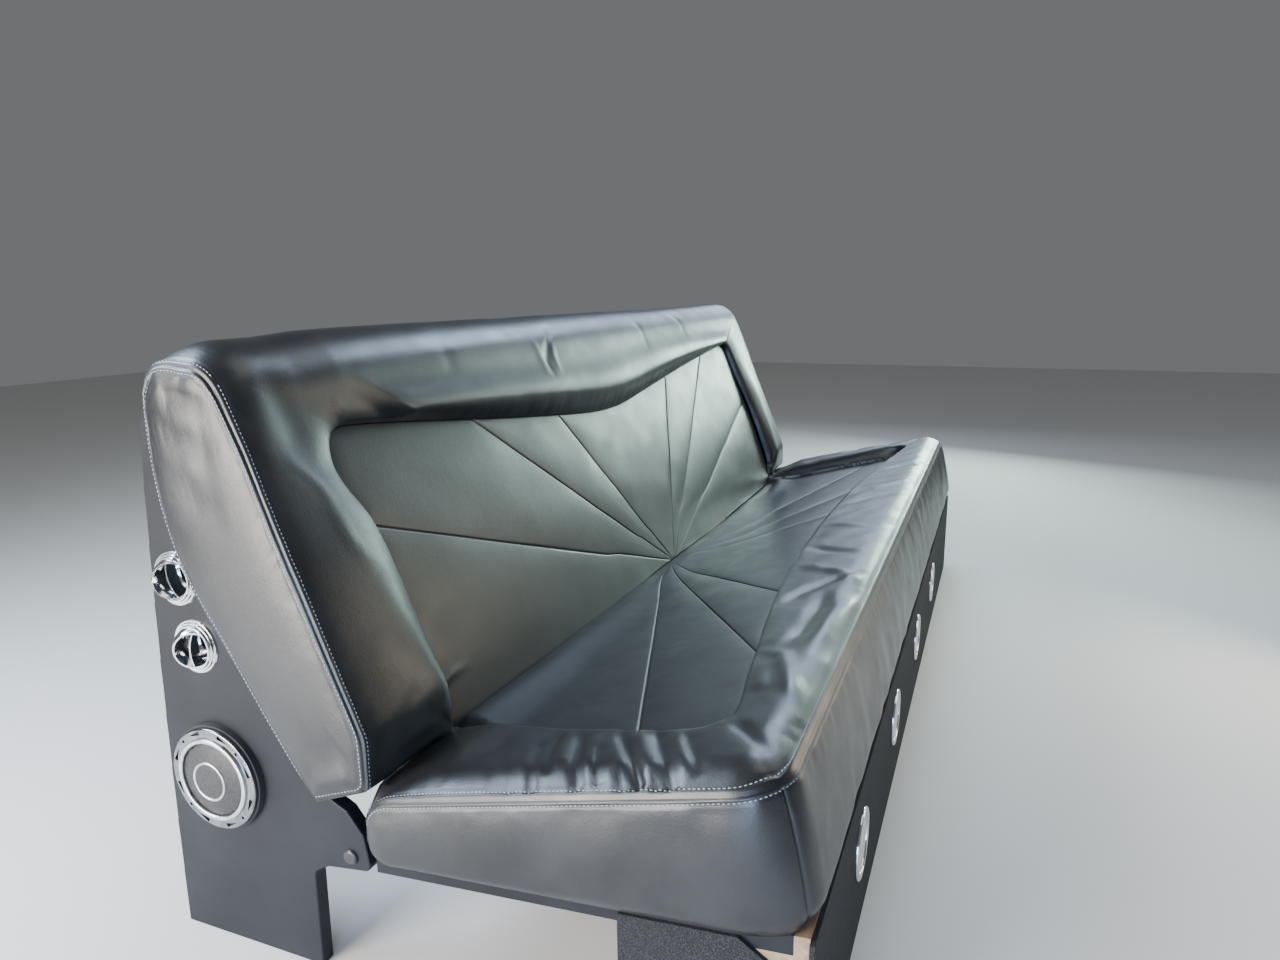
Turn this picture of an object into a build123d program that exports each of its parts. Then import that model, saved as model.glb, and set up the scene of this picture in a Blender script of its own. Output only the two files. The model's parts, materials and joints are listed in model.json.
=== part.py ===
# Side bench seat of a stretched passenger cabin: a long upholstered bench that
# stands against the side wall. Millimetres. X runs along the bench with the open,
# trimmed end at -X, the sitter faces -Y, the wall is at +Y and Z is up. The origin
# is on the floor under the middle of the bench.
import os
from math import atan2, cos, degrees, radians, sin, tan

from build123d import *

os.makedirs("parts", exist_ok=True)

# Clearances
seat_gap = 0.3  # between a curved or soft face and what it seats on
fit_gap = 0.5  # round a part that is pushed through a hole

# Overall
bench_length = 2280.0  # over the two cushion ends
bench_depth = 960.0  # from the front of the seat cushion to the wall at floor level
front_y = -bench_depth / 2
wall_y = bench_depth / 2
half_length = bench_length / 2

# End panels and ribs
panel_thickness = 20.0
panel_setback = 28.0  # the cushions stand this far past the end panels
panel_face_x = half_length - panel_setback
panel_inner_x = panel_face_x - panel_thickness
panel_height = 768.0
panel_edge = 2.5  # rounding of the vinyl-wrapped outer edges
wall_lean = 28.0  # how far the wall leans in at the top of a panel
leg_depth = 258.0  # from the wall to the front of the leg
leg_notch_z = 150.0  # top of the open notch in front of the leg
tab_reach = 358.0  # from the wall to the tip of the tab under the back
tab_low_z = 168.0
tab_high_z = 226.0
rib_thickness = 18.0
rib_count = 4
rib_pitch = 440.0

# Seat board, plinth and rear rail
board_thickness = 25.0
board_slope = 4.6  # degrees, rising to the front
board_wall_gap = 368.0
board_rear_z = 203.0  # top face at the rear edge
rail_size = 30.0
rail_wall = 2.5
rail_wall_gap = 326.0  # from the wall to the rail's middle
ledge_reach = 62.0
ledge_steel = 4.0
plywood = 18.0
plinth_depth = 226.0
plinth_setback = 8.0  # carpet face behind the front of the seat cushion
carpet_pile = 6.0
divider_count = 3
divider_pitch = 520.0

# Seat cushion
seat_wall_gap = 375.0
seat_rear_z = 300.0
seat_slope = 13.6  # degrees, rising to the front
seat_front_lean = 43.0  # how far the top front edge lies behind the lower one
seat_crown = 20.0  # the padded top above the seam line
seat_corner_radius = 62.0
seat_edge_radius = 30.0
seat_nose = 12.0  # height of the lowest front edge above the kick panel
seat_border = 190.0  # padded border along the two ends, at the rear
seat_border_flare = 56.0  # how much narrower that border is at the front
seat_front_border = 104.0
seat_front_bow = 84.0  # the front border is this much wider at mid-length
seat_inset_depth = 22.0
inset_corner_radius = 40.0

# Back cushion, measured from the wall
back_low_reach = 385.0  # to the lowest point of the front face
back_low_z = 316.0
back_belly_z = 384.0
back_rear_top = 799.0
back_top_reach = 215.0  # to the top of the front face
back_top_z = 826.0
back_hollow = 6.0  # how far the front face dips behind a straight line
back_wall_gap = 69.0  # behind the upper part
back_foot_reach = 294.0  # to the lower edge of the rear face
back_foot_z = 273.0
back_rear_lean = 33.0  # degrees, of the lower rear face
back_rear_bend = 420.0
back_edge_radius = 30.0
rim_reach = 50.0  # edges nearer the front face than this count as its rim
back_border = 215.0
back_inset_top = 760.0  # height of the inset's upper corners
back_inset_dip = 90.0  # the inset's upper edge runs down by this much to mid-length
back_inset_depth = 26.0
back_inset_sink = 11.0  # depth of the inset where it meets the seat
back_inset_bow = 2000.0  # radius at the middle of that edge
shell_thickness = 9.0
shell_above_panel = 10.0

# Eyeball vents in the open end panel
vent_places = ((63.0, 554.0), (86.0, 458.0))  # from wall, z
ball_aims = ((-4.0, 27.0, 17.0), (2.0, 30.0, -4.0))  # nod, turn and roll in degrees
vent_names = ("upper", "lower")
vent_radius = 39.0
vent_flange = 9.0  # height of the stepped flange
flange_step = 3.2  # how much smaller each of its upper two steps is
ball_radius = 30.5
ball_front = 16.0  # from the ball's centre to its flat front
ball_bore = 24.0
vane_thickness = 1.6
vane_bow = 5.0
socket_wall = 2.6
socket_depth = 30.0
spigot_radius = 22.0
spigot_wall = 2.0
spigot_length = 24.0

# Speaker in the open end panel
speaker_wall_gap = 104.0
speaker_z = 266.0
speaker_radius = 76.0
speaker_cutout = 62.0
gasket_thickness = 9.0
frame_thickness = 5.0
frame_inner = 62.0
ring_height = 9.0
ring_width = 7.0
grille_dome = 9.0
grille_ring_radius = 29.5
grille_ring_width = 4.0
grille_ring_rise = 2.0
grille_thickness = 1.5
basket_depth = 48.0
magnet_radius = 42.0
magnet_thickness = 18.0
cone_thickness = 1.5
cone_neck = 15.0
cone_depth = 25.0
cone_cap = 7.0
sheet_steel = 1.5
frame_slot_width = 6.0
frame_slot_length = 22.0
frame_slot_turn = 22.0  # degrees from a screw to the middle of a slot beside it
frame_screw_radius = 2.4
grille_slot_length = 10.0
grille_slot_width = 2.6

# Bolt caps, floor brackets and floor lamps
cap_radius = 11.0
cap_height = 5.0
bracket_length = 150.0
bracket_leg = 42.0
bracket_steel = 4.0
bracket_wall_gap = 130.0
bracket_hole_radius = 5.5
bracket_hole_pitch = 100.0
bracket_hole_x = 25.0  # from the bracket's upright to its holes
lamp_count = 4
lamp_pitch = 413.0
first_lamp_inset = 340.0  # from the plinth's near end
lamp_z = 150.0
lamp_radius = 52.0
lamp_ring_width = 9.0
lamp_ring_height = 5.0
lamp_cup_depth = 22.0
lamp_lens_height = 2.5


# Places along Y that follow from the distances to the wall
leg_front_y = wall_y - leg_depth
tab_tip_y = wall_y - tab_reach
board_rear_y = wall_y - board_wall_gap
rail_y = wall_y - rail_wall_gap
seat_rear_y = wall_y - seat_wall_gap
back_low_y = wall_y - back_low_reach
back_top_y = wall_y - back_top_reach
back_rear_y = wall_y - back_wall_gap
back_rear_low = (wall_y - back_foot_reach, back_foot_z)
speaker_y = wall_y - speaker_wall_gap
bracket_y = wall_y - bracket_wall_gap


def save(piece, name):
    piece.part.label = name
    export_step(piece.part, f"parts/{name}.step")


def board_top(y):
    """Height of the seat board's upper face at y."""
    return board_rear_z + (board_rear_y - y) * tan(radians(board_slope))


def board_under(y):
    return board_top(y) - board_thickness / cos(radians(board_slope))


# The rail stands on its ledge, level with the board's underside there
rail_front = rail_y - rail_size / 2
rail_z = board_under(rail_front) + rail_size / 2


def wall_face(z):
    """The wall's y at height z: upright near the floor, leaning in above."""
    return wall_y - wall_lean * (z / panel_height) ** 2


# Recline of the back cushion's front face, in degrees from upright
recline = degrees(atan2(back_top_y - back_low_y - 3, back_top_z - back_belly_z))


# The back cushion's rear face is two straight runs joined by a wide bend. The
# shell and the ribs behind it follow the same line, each a stated distance off.
lean = radians(back_rear_lean)
bend_z = back_rear_low[1] + (back_rear_y - back_rear_low[0]) / tan(lean)
shell_top_z = panel_height + shell_above_panel
bend_radius = min(back_rear_bend, 0.9 * (shell_top_z - bend_z) / tan(lean / 2))


def rear_line(distance, top_z):
    """Corner points of the back's rear face, moved back by distance."""
    low = (back_rear_low[0] + distance * cos(lean), back_rear_low[1] - distance * sin(lean))
    bend = (back_rear_y + distance, bend_z - distance * tan(lean / 2))
    return low, bend, (back_rear_y + distance, top_z)


def rear_edge(distance, top_z):
    """Draws that rear face into the open BuildLine, from its top down."""
    low, bend, top = rear_line(distance, top_z)
    return FilletPolyline(top, bend, low, radius=bend_radius + distance)


# End panels: one outline, its front edge against the back cushion
front_gap = 1.0
panel_top = (back_rear_y + 6, panel_height + 24)
notch_top_y = leg_front_y - 0.26 * (leg_front_y - tab_tip_y)  # the tab springs from the leg here


def panel_outline():
    with BuildLine() as outline:
        edge = rear_edge(front_gap, panel_top[1])
        Line(edge @ 0, (wall_face(panel_height), panel_height))
        ThreePointArc(
            (wall_face(panel_height), panel_height),
            (wall_face(panel_height / 2), panel_height / 2),
            (wall_y, 0),
        )
        Polyline(
            (wall_y, 0),
            (leg_front_y, 0),
            (leg_front_y - 2, leg_notch_z),
            (notch_top_y, tab_low_z - 4),
            (tab_tip_y, tab_low_z + 6),
            (tab_tip_y + 9, tab_high_z),
            (tab_tip_y + 34, tab_high_z + 32),
            edge @ 1,
        )
    return outline.edges()


end_sides = (("near", -1), ("far", 1))
for side, sign in end_sides:
    with BuildPart() as end_panel:
        with BuildSketch(Plane.YZ.offset(sign * panel_face_x)):
            make_face(panel_outline())
        extrude(amount=-sign * panel_thickness)
        notch = end_panel.edges().filter_by(Axis.X)
        fillet(notch.sort_by_distance((0, leg_front_y - 2, leg_notch_z))[:2], radius=12)
        tip = end_panel.edges().filter_by(Axis.X)
        fillet(tip.sort_by_distance((0, tab_tip_y, tab_low_z + 6))[0], radius=11)
        # the vinyl is wrapped round the edges of the outer face, except along the floor
        outer_face = end_panel.faces().sort_by(Axis((0, 0, 0), (sign, 0, 0)))[-1]
        fillet(outer_face.edges().filter_by(lambda edge: edge.center().Z > 1), radius=panel_edge)
        if side == "near":
            face = Plane.YZ.offset(-panel_face_x - 1)
            with BuildSketch(face):
                for vent_gap, vent_z in vent_places:
                    with Locations((wall_y - vent_gap, vent_z)):
                        Circle(ball_radius + socket_wall + fit_gap)
                with Locations((speaker_y, speaker_z)):
                    Circle(speaker_cutout)
            extrude(amount=panel_thickness + 2, mode=Mode.SUBTRACT)
    save(end_panel, f"end_panel_{side}")

# Ribs behind the back, notched for the rear rail, with a lightening window
rib_front = front_gap + shell_thickness + seat_gap
for number in range(rib_count):
    rib_x = (number - (rib_count - 1) / 2) * rib_pitch
    rail_top = rail_z + rail_size / 2 + seat_gap
    rail_back = rail_y + rail_size / 2 + seat_gap
    rail_bottom = rail_z - rail_size / 2 - ledge_steel
    with BuildPart() as rib:
        with BuildSketch(Plane.YZ.offset(rib_x - rib_thickness / 2)) as outline:
            with BuildLine():
                edge = rear_edge(rib_front, shell_top_z)
                Line(edge @ 0, (wall_face(panel_height) - 2, panel_height - 8))
                ThreePointArc(
                    (wall_face(panel_height) - 2, panel_height - 8),
                    (wall_face(panel_height / 2) - 2, panel_height / 2),
                    (wall_y, 0),
                )
                Polyline(
                    (wall_y, 0),
                    (leg_front_y, 0),
                    (leg_front_y - 2, leg_notch_z),
                    (rail_y - rail_size / 2, tab_low_z - 2),
                    (rail_y - rail_size / 2, rail_bottom),
                    (rail_back, rail_bottom),
                    (rail_back, rail_top + 20),
                    edge @ 1,
                )
            make_face()
            with Locations((wall_y - 130, 200)):
                RectangleRounded(110, 190, 24, mode=Mode.SUBTRACT)
        extrude(amount=rib_thickness)
    save(rib, f"back_rib_{number + 1}")

# Bent plywood shell between the end panels, behind the back cushion
with BuildPart() as back_shell:
    with BuildSketch(Plane.YZ.offset(-panel_inner_x + seat_gap)):
        with BuildLine():
            inner = rear_edge(front_gap, shell_top_z)
            outer = rear_edge(front_gap + shell_thickness, shell_top_z)
            Line(inner @ 0, outer @ 0)
            Line(inner @ 1, outer @ 1)
        make_face()
    extrude(amount=2 * (panel_inner_x - seat_gap))
save(back_shell, "back_shell")

# Rear rail: a square steel tube with a ledge that carries the seat board
rail_length = 2 * panel_inner_x
ledge_y = board_rear_y - ledge_reach
with BuildPart() as rear_rail:
    with BuildSketch(Plane.YZ.offset(-panel_inner_x)):
        with Locations((rail_y, rail_z)):
            Rectangle(rail_size, rail_size)
        with BuildLine():
            Polyline(
                (rail_y + rail_size / 2, rail_z - rail_size / 2),
                (rail_front, rail_z - rail_size / 2),
                (ledge_y, board_under(ledge_y)),
                (ledge_y, board_under(ledge_y) - ledge_steel),
                (rail_front, rail_z - rail_size / 2 - ledge_steel),
                (rail_y + rail_size / 2, rail_z - rail_size / 2 - ledge_steel),
                close=True,
            )
        make_face()
        with Locations((rail_y, rail_z)):
            Rectangle(rail_size - 2 * rail_wall, rail_size - 2 * rail_wall, mode=Mode.SUBTRACT)
    extrude(amount=rail_length)
save(rear_rail, "rear_rail")

# Seat board, sloping up to the kick panel
kick_front_y = front_y + plinth_setback + carpet_pile
kick_rear_y = kick_front_y + plywood
plinth_rear_y = kick_front_y + plinth_depth
with BuildPart() as seat_board:
    with BuildSketch(Plane.YZ.offset(-panel_face_x)):
        with BuildLine():
            Polyline(
                (board_rear_y, board_under(board_rear_y)),
                (board_rear_y, board_top(board_rear_y)),
                (kick_rear_y, board_top(kick_rear_y)),
                (kick_rear_y, board_under(kick_rear_y)),
                close=True,
            )
        make_face()
    extrude(amount=2 * panel_face_x)
save(seat_board, "seat_board")

# Plinth: kick panel with lamp holes, rear panel, two cheeks and dividers
first_lamp_x = first_lamp_inset - panel_face_x
lamp_places = [(first_lamp_x + n * lamp_pitch, lamp_z) for n in range(lamp_count)]
lamp_hole = lamp_radius - lamp_ring_width
with BuildPart() as kick_panel:
    with BuildSketch(Plane.YZ.offset(-panel_face_x)):
        with BuildLine():
            Polyline(
                (kick_front_y, 0),
                (kick_rear_y, 0),
                (kick_rear_y, board_top(kick_rear_y)),
                (kick_front_y, board_top(kick_front_y)),
                close=True,
            )
        make_face()
    extrude(amount=2 * panel_face_x)
    with BuildSketch(Plane.XZ.offset(-kick_rear_y - 1)):
        with Locations(*lamp_places):
            Circle(lamp_hole + fit_gap)
    extrude(amount=plywood + 2, mode=Mode.SUBTRACT)
save(kick_panel, "kick_panel")


def under_board(low_y, high_y):
    """Outline of an upright board between floor and seat board."""
    with BuildLine() as outline:
        Polyline(
            (low_y, 0),
            (high_y, 0),
            (high_y, board_under(high_y)),
            (low_y, board_under(low_y)),
            close=True,
        )
    return outline.edges()


with BuildPart() as plinth_rear:
    with BuildSketch(Plane.YZ.offset(-panel_face_x)):
        make_face(under_board(plinth_rear_y - plywood, plinth_rear_y))
    extrude(amount=2 * panel_face_x)
save(plinth_rear, "plinth_rear")

for side, sign in end_sides:
    with BuildPart() as cheek:
        with BuildSketch(Plane.YZ.offset(sign * panel_face_x)):
            make_face(under_board(kick_rear_y, plinth_rear_y - plywood))
        extrude(amount=-sign * plywood)
    save(cheek, f"plinth_cheek_{side}")

for number in range(divider_count):
    divider_x = (number - (divider_count - 1) / 2) * divider_pitch
    with BuildPart() as divider:
        with BuildSketch(Plane.YZ.offset(divider_x - plywood / 2)):
            make_face(under_board(kick_rear_y, plinth_rear_y - plywood))
        extrude(amount=plywood)
    save(divider, f"plinth_divider_{number + 1}")

# Carpet on the front and the two ends of the plinth
carpet_top = board_top(kick_front_y) - 4
patch_lap = 14.0  # how far the end carpet laps up over the board's edge
with BuildPart() as front_carpet:
    with BuildSketch(Plane.XZ.offset(-kick_front_y)):
        with Locations((0, carpet_top / 2)):
            Rectangle(2 * (panel_face_x + carpet_pile), carpet_top)
        with Locations(*lamp_places):
            Circle(lamp_hole + fit_gap, mode=Mode.SUBTRACT)
    extrude(amount=carpet_pile)
save(front_carpet, "front_carpet")

for side, sign in end_sides:
    with BuildPart() as end_carpet:
        with BuildSketch(Plane.YZ.offset(sign * panel_face_x)):
            with BuildLine():
                Polyline(
                    (kick_front_y, 0),
                    (plinth_rear_y, 0),
                    (plinth_rear_y, board_under(plinth_rear_y) + patch_lap),
                    (kick_rear_y + 62, board_under(kick_rear_y + 62) + patch_lap),
                    (kick_rear_y + 12, board_under(kick_rear_y) - 24),
                    (kick_front_y, board_under(kick_rear_y) - 30),
                    close=True,
                )
            make_face()
        extrude(amount=sign * carpet_pile)
    save(end_carpet, f"end_carpet_{side}")

# Floor lamps: a chrome ring over the carpet and a cup with an opal lens
for number, (lamp_x, lamp_height) in enumerate(lamp_places):
    lamp_face = Plane(
        origin=(lamp_x, kick_front_y - carpet_pile, lamp_height), x_dir=(1, 0, 0), z_dir=(0, -1, 0)
    )
    with BuildPart() as lamp_ring:
        with BuildSketch(lamp_face):
            Circle(lamp_radius)
            Circle(lamp_hole, mode=Mode.SUBTRACT)
        extrude(amount=lamp_ring_height)
        rim = lamp_ring.faces().sort_by(Axis.Y)[0].edges()
        fillet(rim, radius=lamp_ring_height * 0.6)
    save(lamp_ring, f"lamp_ring_{number + 1}")
    with BuildPart() as lamp_lens:
        with BuildSketch(lamp_face.offset(-lamp_cup_depth)):
            Circle(lamp_hole - seat_gap)
        extrude(amount=lamp_cup_depth + lamp_lens_height)
        fillet(lamp_lens.faces().sort_by(Axis.Y)[0].edges(), radius=lamp_lens_height)
    save(lamp_lens, f"lamp_lens_{number + 1}")

# Eyeball vents: socket with flange and spigot, and a bored ball with a curved vane
for name, (vent_gap, vent_z), ball_aim in zip(vent_names, vent_places, ball_aims):
    vent_centre = (-panel_face_x, wall_y - vent_gap, vent_z)
    vent_face = Plane(origin=vent_centre, x_dir=(0, -1, 0), z_dir=(-1, 0, 0))
    barrel_radius = ball_radius + socket_wall
    # the socket's half section, with the radius along x and the depth along y
    vent_section = Plane(origin=vent_centre, x_dir=(0, 0, 1), z_dir=(0, 1, 0))
    steps = []
    for step in range(3):
        step_radius = vent_radius - step * flange_step
        step_top = -vent_flange * (step + 1) / 3
        steps += [
            (step_radius, -vent_flange * step / 3),
            (step_radius, 0.3 * step_top - 0.7 * vent_flange * step / 3),
            (step_radius - flange_step / 3, step_top),
        ]
    with BuildPart() as socket:
        with BuildSketch(vent_section):
            with BuildLine():
                Polyline(
                    (0, -vent_flange),
                    *reversed(steps),
                    (barrel_radius, 0),
                    (barrel_radius, socket_depth),
                    (spigot_radius, socket_depth),
                    (spigot_radius, socket_depth + spigot_length),
                    (0, socket_depth + spigot_length),
                    close=True,
                )
            make_face()
        revolve(axis=Axis(vent_centre, (1, 0, 0)))
        with BuildSketch(vent_face.offset(-socket_depth - spigot_length)):
            Circle(spigot_radius - spigot_wall)
        extrude(amount=spigot_length + socket_depth, mode=Mode.SUBTRACT)
        with Locations(vent_face):
            Sphere(ball_radius + seat_gap, mode=Mode.SUBTRACT)
    save(socket, f"vent_socket_{name}")
    with BuildPart() as ball:
        Sphere(ball_radius)
        for end in (-1, 1):
            with BuildSketch(Plane.XY.offset(end * ball_front)):
                Circle(ball_radius)
            extrude(amount=end * ball_radius, mode=Mode.SUBTRACT)
        with BuildSketch(Plane.XY.offset(-ball_front)):
            Circle(ball_bore)
        extrude(amount=2 * ball_front, mode=Mode.SUBTRACT)
        with BuildSketch(Plane.XY.offset(-ball_front + 1)):
            with BuildLine():
                left = ThreePointArc((0, -ball_bore - 1), (-vane_bow, 0), (0, ball_bore + 1))
                right = ThreePointArc(
                    (vane_thickness, -ball_bore - 1),
                    (vane_thickness - vane_bow, 0),
                    (vane_thickness, ball_bore + 1),
                )
                Line(left @ 0, right @ 0)
                Line(left @ 1, right @ 1)
            make_face()
        extrude(amount=2 * ball_front - 2)
    ball.part = vent_face.location * Location((0, 0, 0), ball_aim) * ball.part
    save(ball, f"vent_ball_{name}")

# Speaker: gasket, eared frame, raised ring, domed grille, cone, basket and magnet
speaker_face = Plane(
    origin=(-panel_face_x, speaker_y, speaker_z), x_dir=(0, -1, 0), z_dir=(-1, 0, 0)
)
with BuildPart() as speaker_gasket:
    with BuildSketch(speaker_face):
        Circle(speaker_radius + 3)
        Circle(speaker_cutout, mode=Mode.SUBTRACT)
    extrude(amount=gasket_thickness)
save(speaker_gasket, "speaker_gasket")

# Half sections are drawn with the radius along x and the depth behind along y
half_section = Plane(
    origin=(-panel_face_x - gasket_thickness, speaker_y, speaker_z),
    x_dir=(0, 0, 1),
    z_dir=(0, 1, 0),
)
speaker_axis = Axis(half_section.origin, (1, 0, 0))
basket_radius = speaker_cutout - 4
basket_hub = magnet_radius + 2
with BuildPart() as speaker_basket:
    with BuildSketch(half_section):
        with BuildLine():
            Polyline(
                (basket_radius - sheet_steel, -sheet_steel),
                (speaker_radius - 2, -sheet_steel),
                (speaker_radius - 2, 0),
                (basket_radius, 0),
                (basket_radius, basket_depth / 4),
                (basket_hub, basket_depth),
                (basket_hub / 3, basket_depth),
                (basket_hub / 3, basket_depth - sheet_steel),
                (basket_hub - sheet_steel, basket_depth - sheet_steel),
                (basket_radius - sheet_steel, basket_depth / 4),
                close=True,
            )
        make_face()
    revolve(axis=speaker_axis)
save(speaker_basket, "speaker_basket")

cone_radius = basket_radius - sheet_steel - seat_gap
with BuildPart() as speaker_cone:
    with BuildSketch(half_section):
        with BuildLine():
            Polyline(
                (cone_radius, -sheet_steel),
                (cone_radius, 0),
                (cone_neck, cone_depth),
                (0, cone_depth - cone_cap),
                (0, cone_depth - cone_cap - cone_thickness),
                (cone_neck, cone_depth - cone_thickness - 0.5),
                (cone_radius - cone_thickness, -sheet_steel),
                close=True,
            )
        make_face()
    revolve(axis=speaker_axis)
save(speaker_cone, "speaker_cone")

with BuildPart() as speaker_magnet:
    with BuildSketch(speaker_face.offset(gasket_thickness - basket_depth)):
        Circle(magnet_radius)
    extrude(amount=-magnet_thickness)
    chamfer(speaker_magnet.faces().sort_by(Axis.X)[-1].edges(), length=3)
save(speaker_magnet, "speaker_magnet")

frame_face = speaker_face.offset(gasket_thickness + sheet_steel)
slot_radius = (speaker_radius + frame_inner) / 2
with BuildPart() as speaker_frame:
    with BuildSketch(frame_face):
        Circle(speaker_radius)
        Circle(frame_inner, mode=Mode.SUBTRACT)
        # a pointed slot on each side of each ear, its wide end away from the screw
        for way in (-1, 1):
            slot_end = way * frame_slot_length / 2
            with PolarLocations(slot_radius, 4, start_angle=45 + way * frame_slot_turn):
                Polygon(
                    (-frame_slot_width / 2, slot_end),
                    (frame_slot_width / 2, slot_end),
                    (0, -slot_end),
                    align=None,
                    mode=Mode.SUBTRACT,
                )
    extrude(amount=frame_thickness)
    rim = speaker_frame.faces().sort_by(Axis.X)[0].edges().filter_by(GeomType.CIRCLE)
    fillet(rim.sort_by(SortBy.RADIUS)[-1], radius=frame_thickness / 2)
    with BuildSketch(frame_face):
        with PolarLocations(slot_radius, 4, start_angle=45):
            Circle(frame_screw_radius)
    extrude(amount=frame_thickness, mode=Mode.SUBTRACT)
save(speaker_frame, "speaker_frame")

with BuildPart() as speaker_ring:
    with BuildSketch(frame_face):
        Circle(frame_inner - seat_gap)
        Circle(frame_inner - ring_width, mode=Mode.SUBTRACT)
    extrude(amount=ring_height)
    fillet(speaker_ring.faces().sort_by(Axis.X)[0].edges(), radius=ring_width * 0.3)
save(speaker_ring, "speaker_ring")

# The grille is a shallow dome with rings of slots and a raised ring of its own
grille_radius = frame_inner - ring_width - seat_gap
grille_base = -sheet_steel - ring_height / 2
grille_slots = ((0.86, 28), (0.66, 22), (0.28, 8))  # place as a share of the radius, count
grille_ring_low = ring_height / 2 + grille_dome * (1 - (grille_ring_radius / grille_radius) ** 2)
with BuildPart() as speaker_grille:
    with BuildSketch(half_section):
        with BuildLine():
            outer = ThreePointArc(
                (0, grille_base - grille_dome),
                (grille_radius / 2, grille_base - 0.75 * grille_dome),
                (grille_radius, grille_base),
            )
            inner = ThreePointArc(
                (0, grille_base - grille_dome + grille_thickness),
                (grille_radius / 2, grille_base - 0.75 * grille_dome + grille_thickness),
                (grille_radius, grille_base + grille_thickness),
            )
            Line(outer @ 0, inner @ 0)
            Line(outer @ 1, inner @ 1)
        make_face()
    revolve(axis=speaker_axis)
    with BuildSketch(frame_face):
        for share, count in grille_slots:
            with PolarLocations(share * grille_radius, count):
                SlotOverall(grille_slot_length, grille_slot_width)
    extrude(amount=ring_height + grille_dome, mode=Mode.SUBTRACT)
    with BuildSketch(frame_face.offset(grille_ring_low - grille_thickness)):
        Circle(grille_ring_radius)
        Circle(grille_ring_radius - grille_ring_width, mode=Mode.SUBTRACT)
    extrude(amount=grille_thickness + grille_ring_rise)
save(speaker_grille, "speaker_grille")

# Domed caps over the bolts that hold the end panels to the rail
for side, sign in end_sides:
    cap_face = Plane(
        origin=(sign * panel_face_x, rail_y, rail_z), x_dir=(0, 1, 0), z_dir=(sign, 0, 0)
    )
    with BuildPart() as bolt_cap:
        with BuildSketch(cap_face):
            Circle(cap_radius)
        extrude(amount=cap_height)
        crown = bolt_cap.faces().sort_by(Axis((0, 0, 0), cap_face.z_dir))[-1]
        fillet(crown.edges(), radius=cap_height * 0.8)
    save(bolt_cap, f"bolt_cap_{side}")

# Floor brackets: steel angles at the foot of the end panels and two ribs
rib_side = rib_pitch * (rib_count - 3) / 2 + rib_thickness / 2
bracket_places = (
    (-panel_inner_x, 1),
    (-rib_side, -1),
    (rib_side, 1),
    (panel_inner_x, -1),
)
for number, (bracket_x, toward) in enumerate(bracket_places):
    with BuildPart() as bracket:
        with BuildSketch(Plane.XZ.offset(-bracket_y - bracket_length / 2)):
            with BuildLine():
                Polyline(
                    (bracket_x, 0),
                    (bracket_x + toward * bracket_leg, 0),
                    (bracket_x + toward * bracket_leg, bracket_steel),
                    (bracket_x + toward * bracket_steel, bracket_steel),
                    (bracket_x + toward * bracket_steel, bracket_leg),
                    (bracket_x, bracket_leg),
                    close=True,
                )
            make_face()
        extrude(amount=bracket_length)
        with BuildSketch(Plane.XY):
            with Locations((bracket_x + toward * bracket_hole_x, bracket_y)):
                with GridLocations(0, bracket_hole_pitch, 1, 2):
                    Circle(bracket_hole_radius)
        extrude(amount=bracket_steel, mode=Mode.SUBTRACT)
    save(bracket, f"floor_bracket_{number + 1}")

# Seat cushion: a padded wedge, its top sloping down to the back
seat_top_rear = (seat_rear_y - 6, seat_rear_z + seat_crown)
seat_top_front_y = front_y + seat_front_lean
seat_rise = (seat_top_rear[0] - seat_top_front_y) * tan(radians(seat_slope))
seat_top_front = (seat_top_front_y, seat_top_rear[1] + seat_rise)
with BuildPart() as seat_cushion:
    with BuildSketch(Plane.YZ.offset(-half_length)):
        with BuildLine():
            Polyline(
                (seat_rear_y, board_top(seat_rear_y) + seat_gap),
                seat_top_rear,
                seat_top_front,
                (front_y, board_top(kick_front_y) + seat_nose),
                (kick_front_y - 2, board_top(kick_front_y) + seat_gap),
                close=True,
            )
        make_face()
    extrude(amount=bench_length)
    corner_y = front_y + seat_front_lean / 2
    for x in (-half_length, half_length):
        corner = seat_cushion.edges().sort_by_distance((x, corner_y, seat_rear_z + seat_rise / 3))[0]
        fillet(corner, radius=seat_corner_radius)
    fillet(seat_cushion.faces().sort_by(Axis.Z)[-1].edges(), radius=seat_edge_radius)
    # the inset panel: flared sides and a bowed front edge, open to the back
    top_plane = Plane(
        origin=(0, *seat_top_front),
        x_dir=(1, 0, 0),
        z_dir=(0, sin(radians(seat_slope)), cos(radians(seat_slope))),
    )
    inset_rear_x = half_length - seat_border
    inset_front_x = inset_rear_x + seat_border_flare
    inset_rear = (seat_top_rear[0] - seat_top_front_y) / cos(radians(seat_slope)) + 40
    with BuildSketch(top_plane):
        with BuildLine():
            Line((-inset_rear_x, inset_rear), (-inset_front_x, seat_front_border))
            ThreePointArc(
                (-inset_front_x, seat_front_border),
                (0, seat_front_border + seat_front_bow),
                (inset_front_x, seat_front_border),
            )
            Line((inset_front_x, seat_front_border), (inset_rear_x, inset_rear))
            Line((inset_rear_x, inset_rear), (-inset_rear_x, inset_rear))
        make_face()
        fillet(vertices().sort_by(Axis.Y)[:2], radius=inset_corner_radius)
    extrude(amount=-seat_inset_depth, mode=Mode.SUBTRACT)
save(seat_cushion, "seat_cushion")

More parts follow.
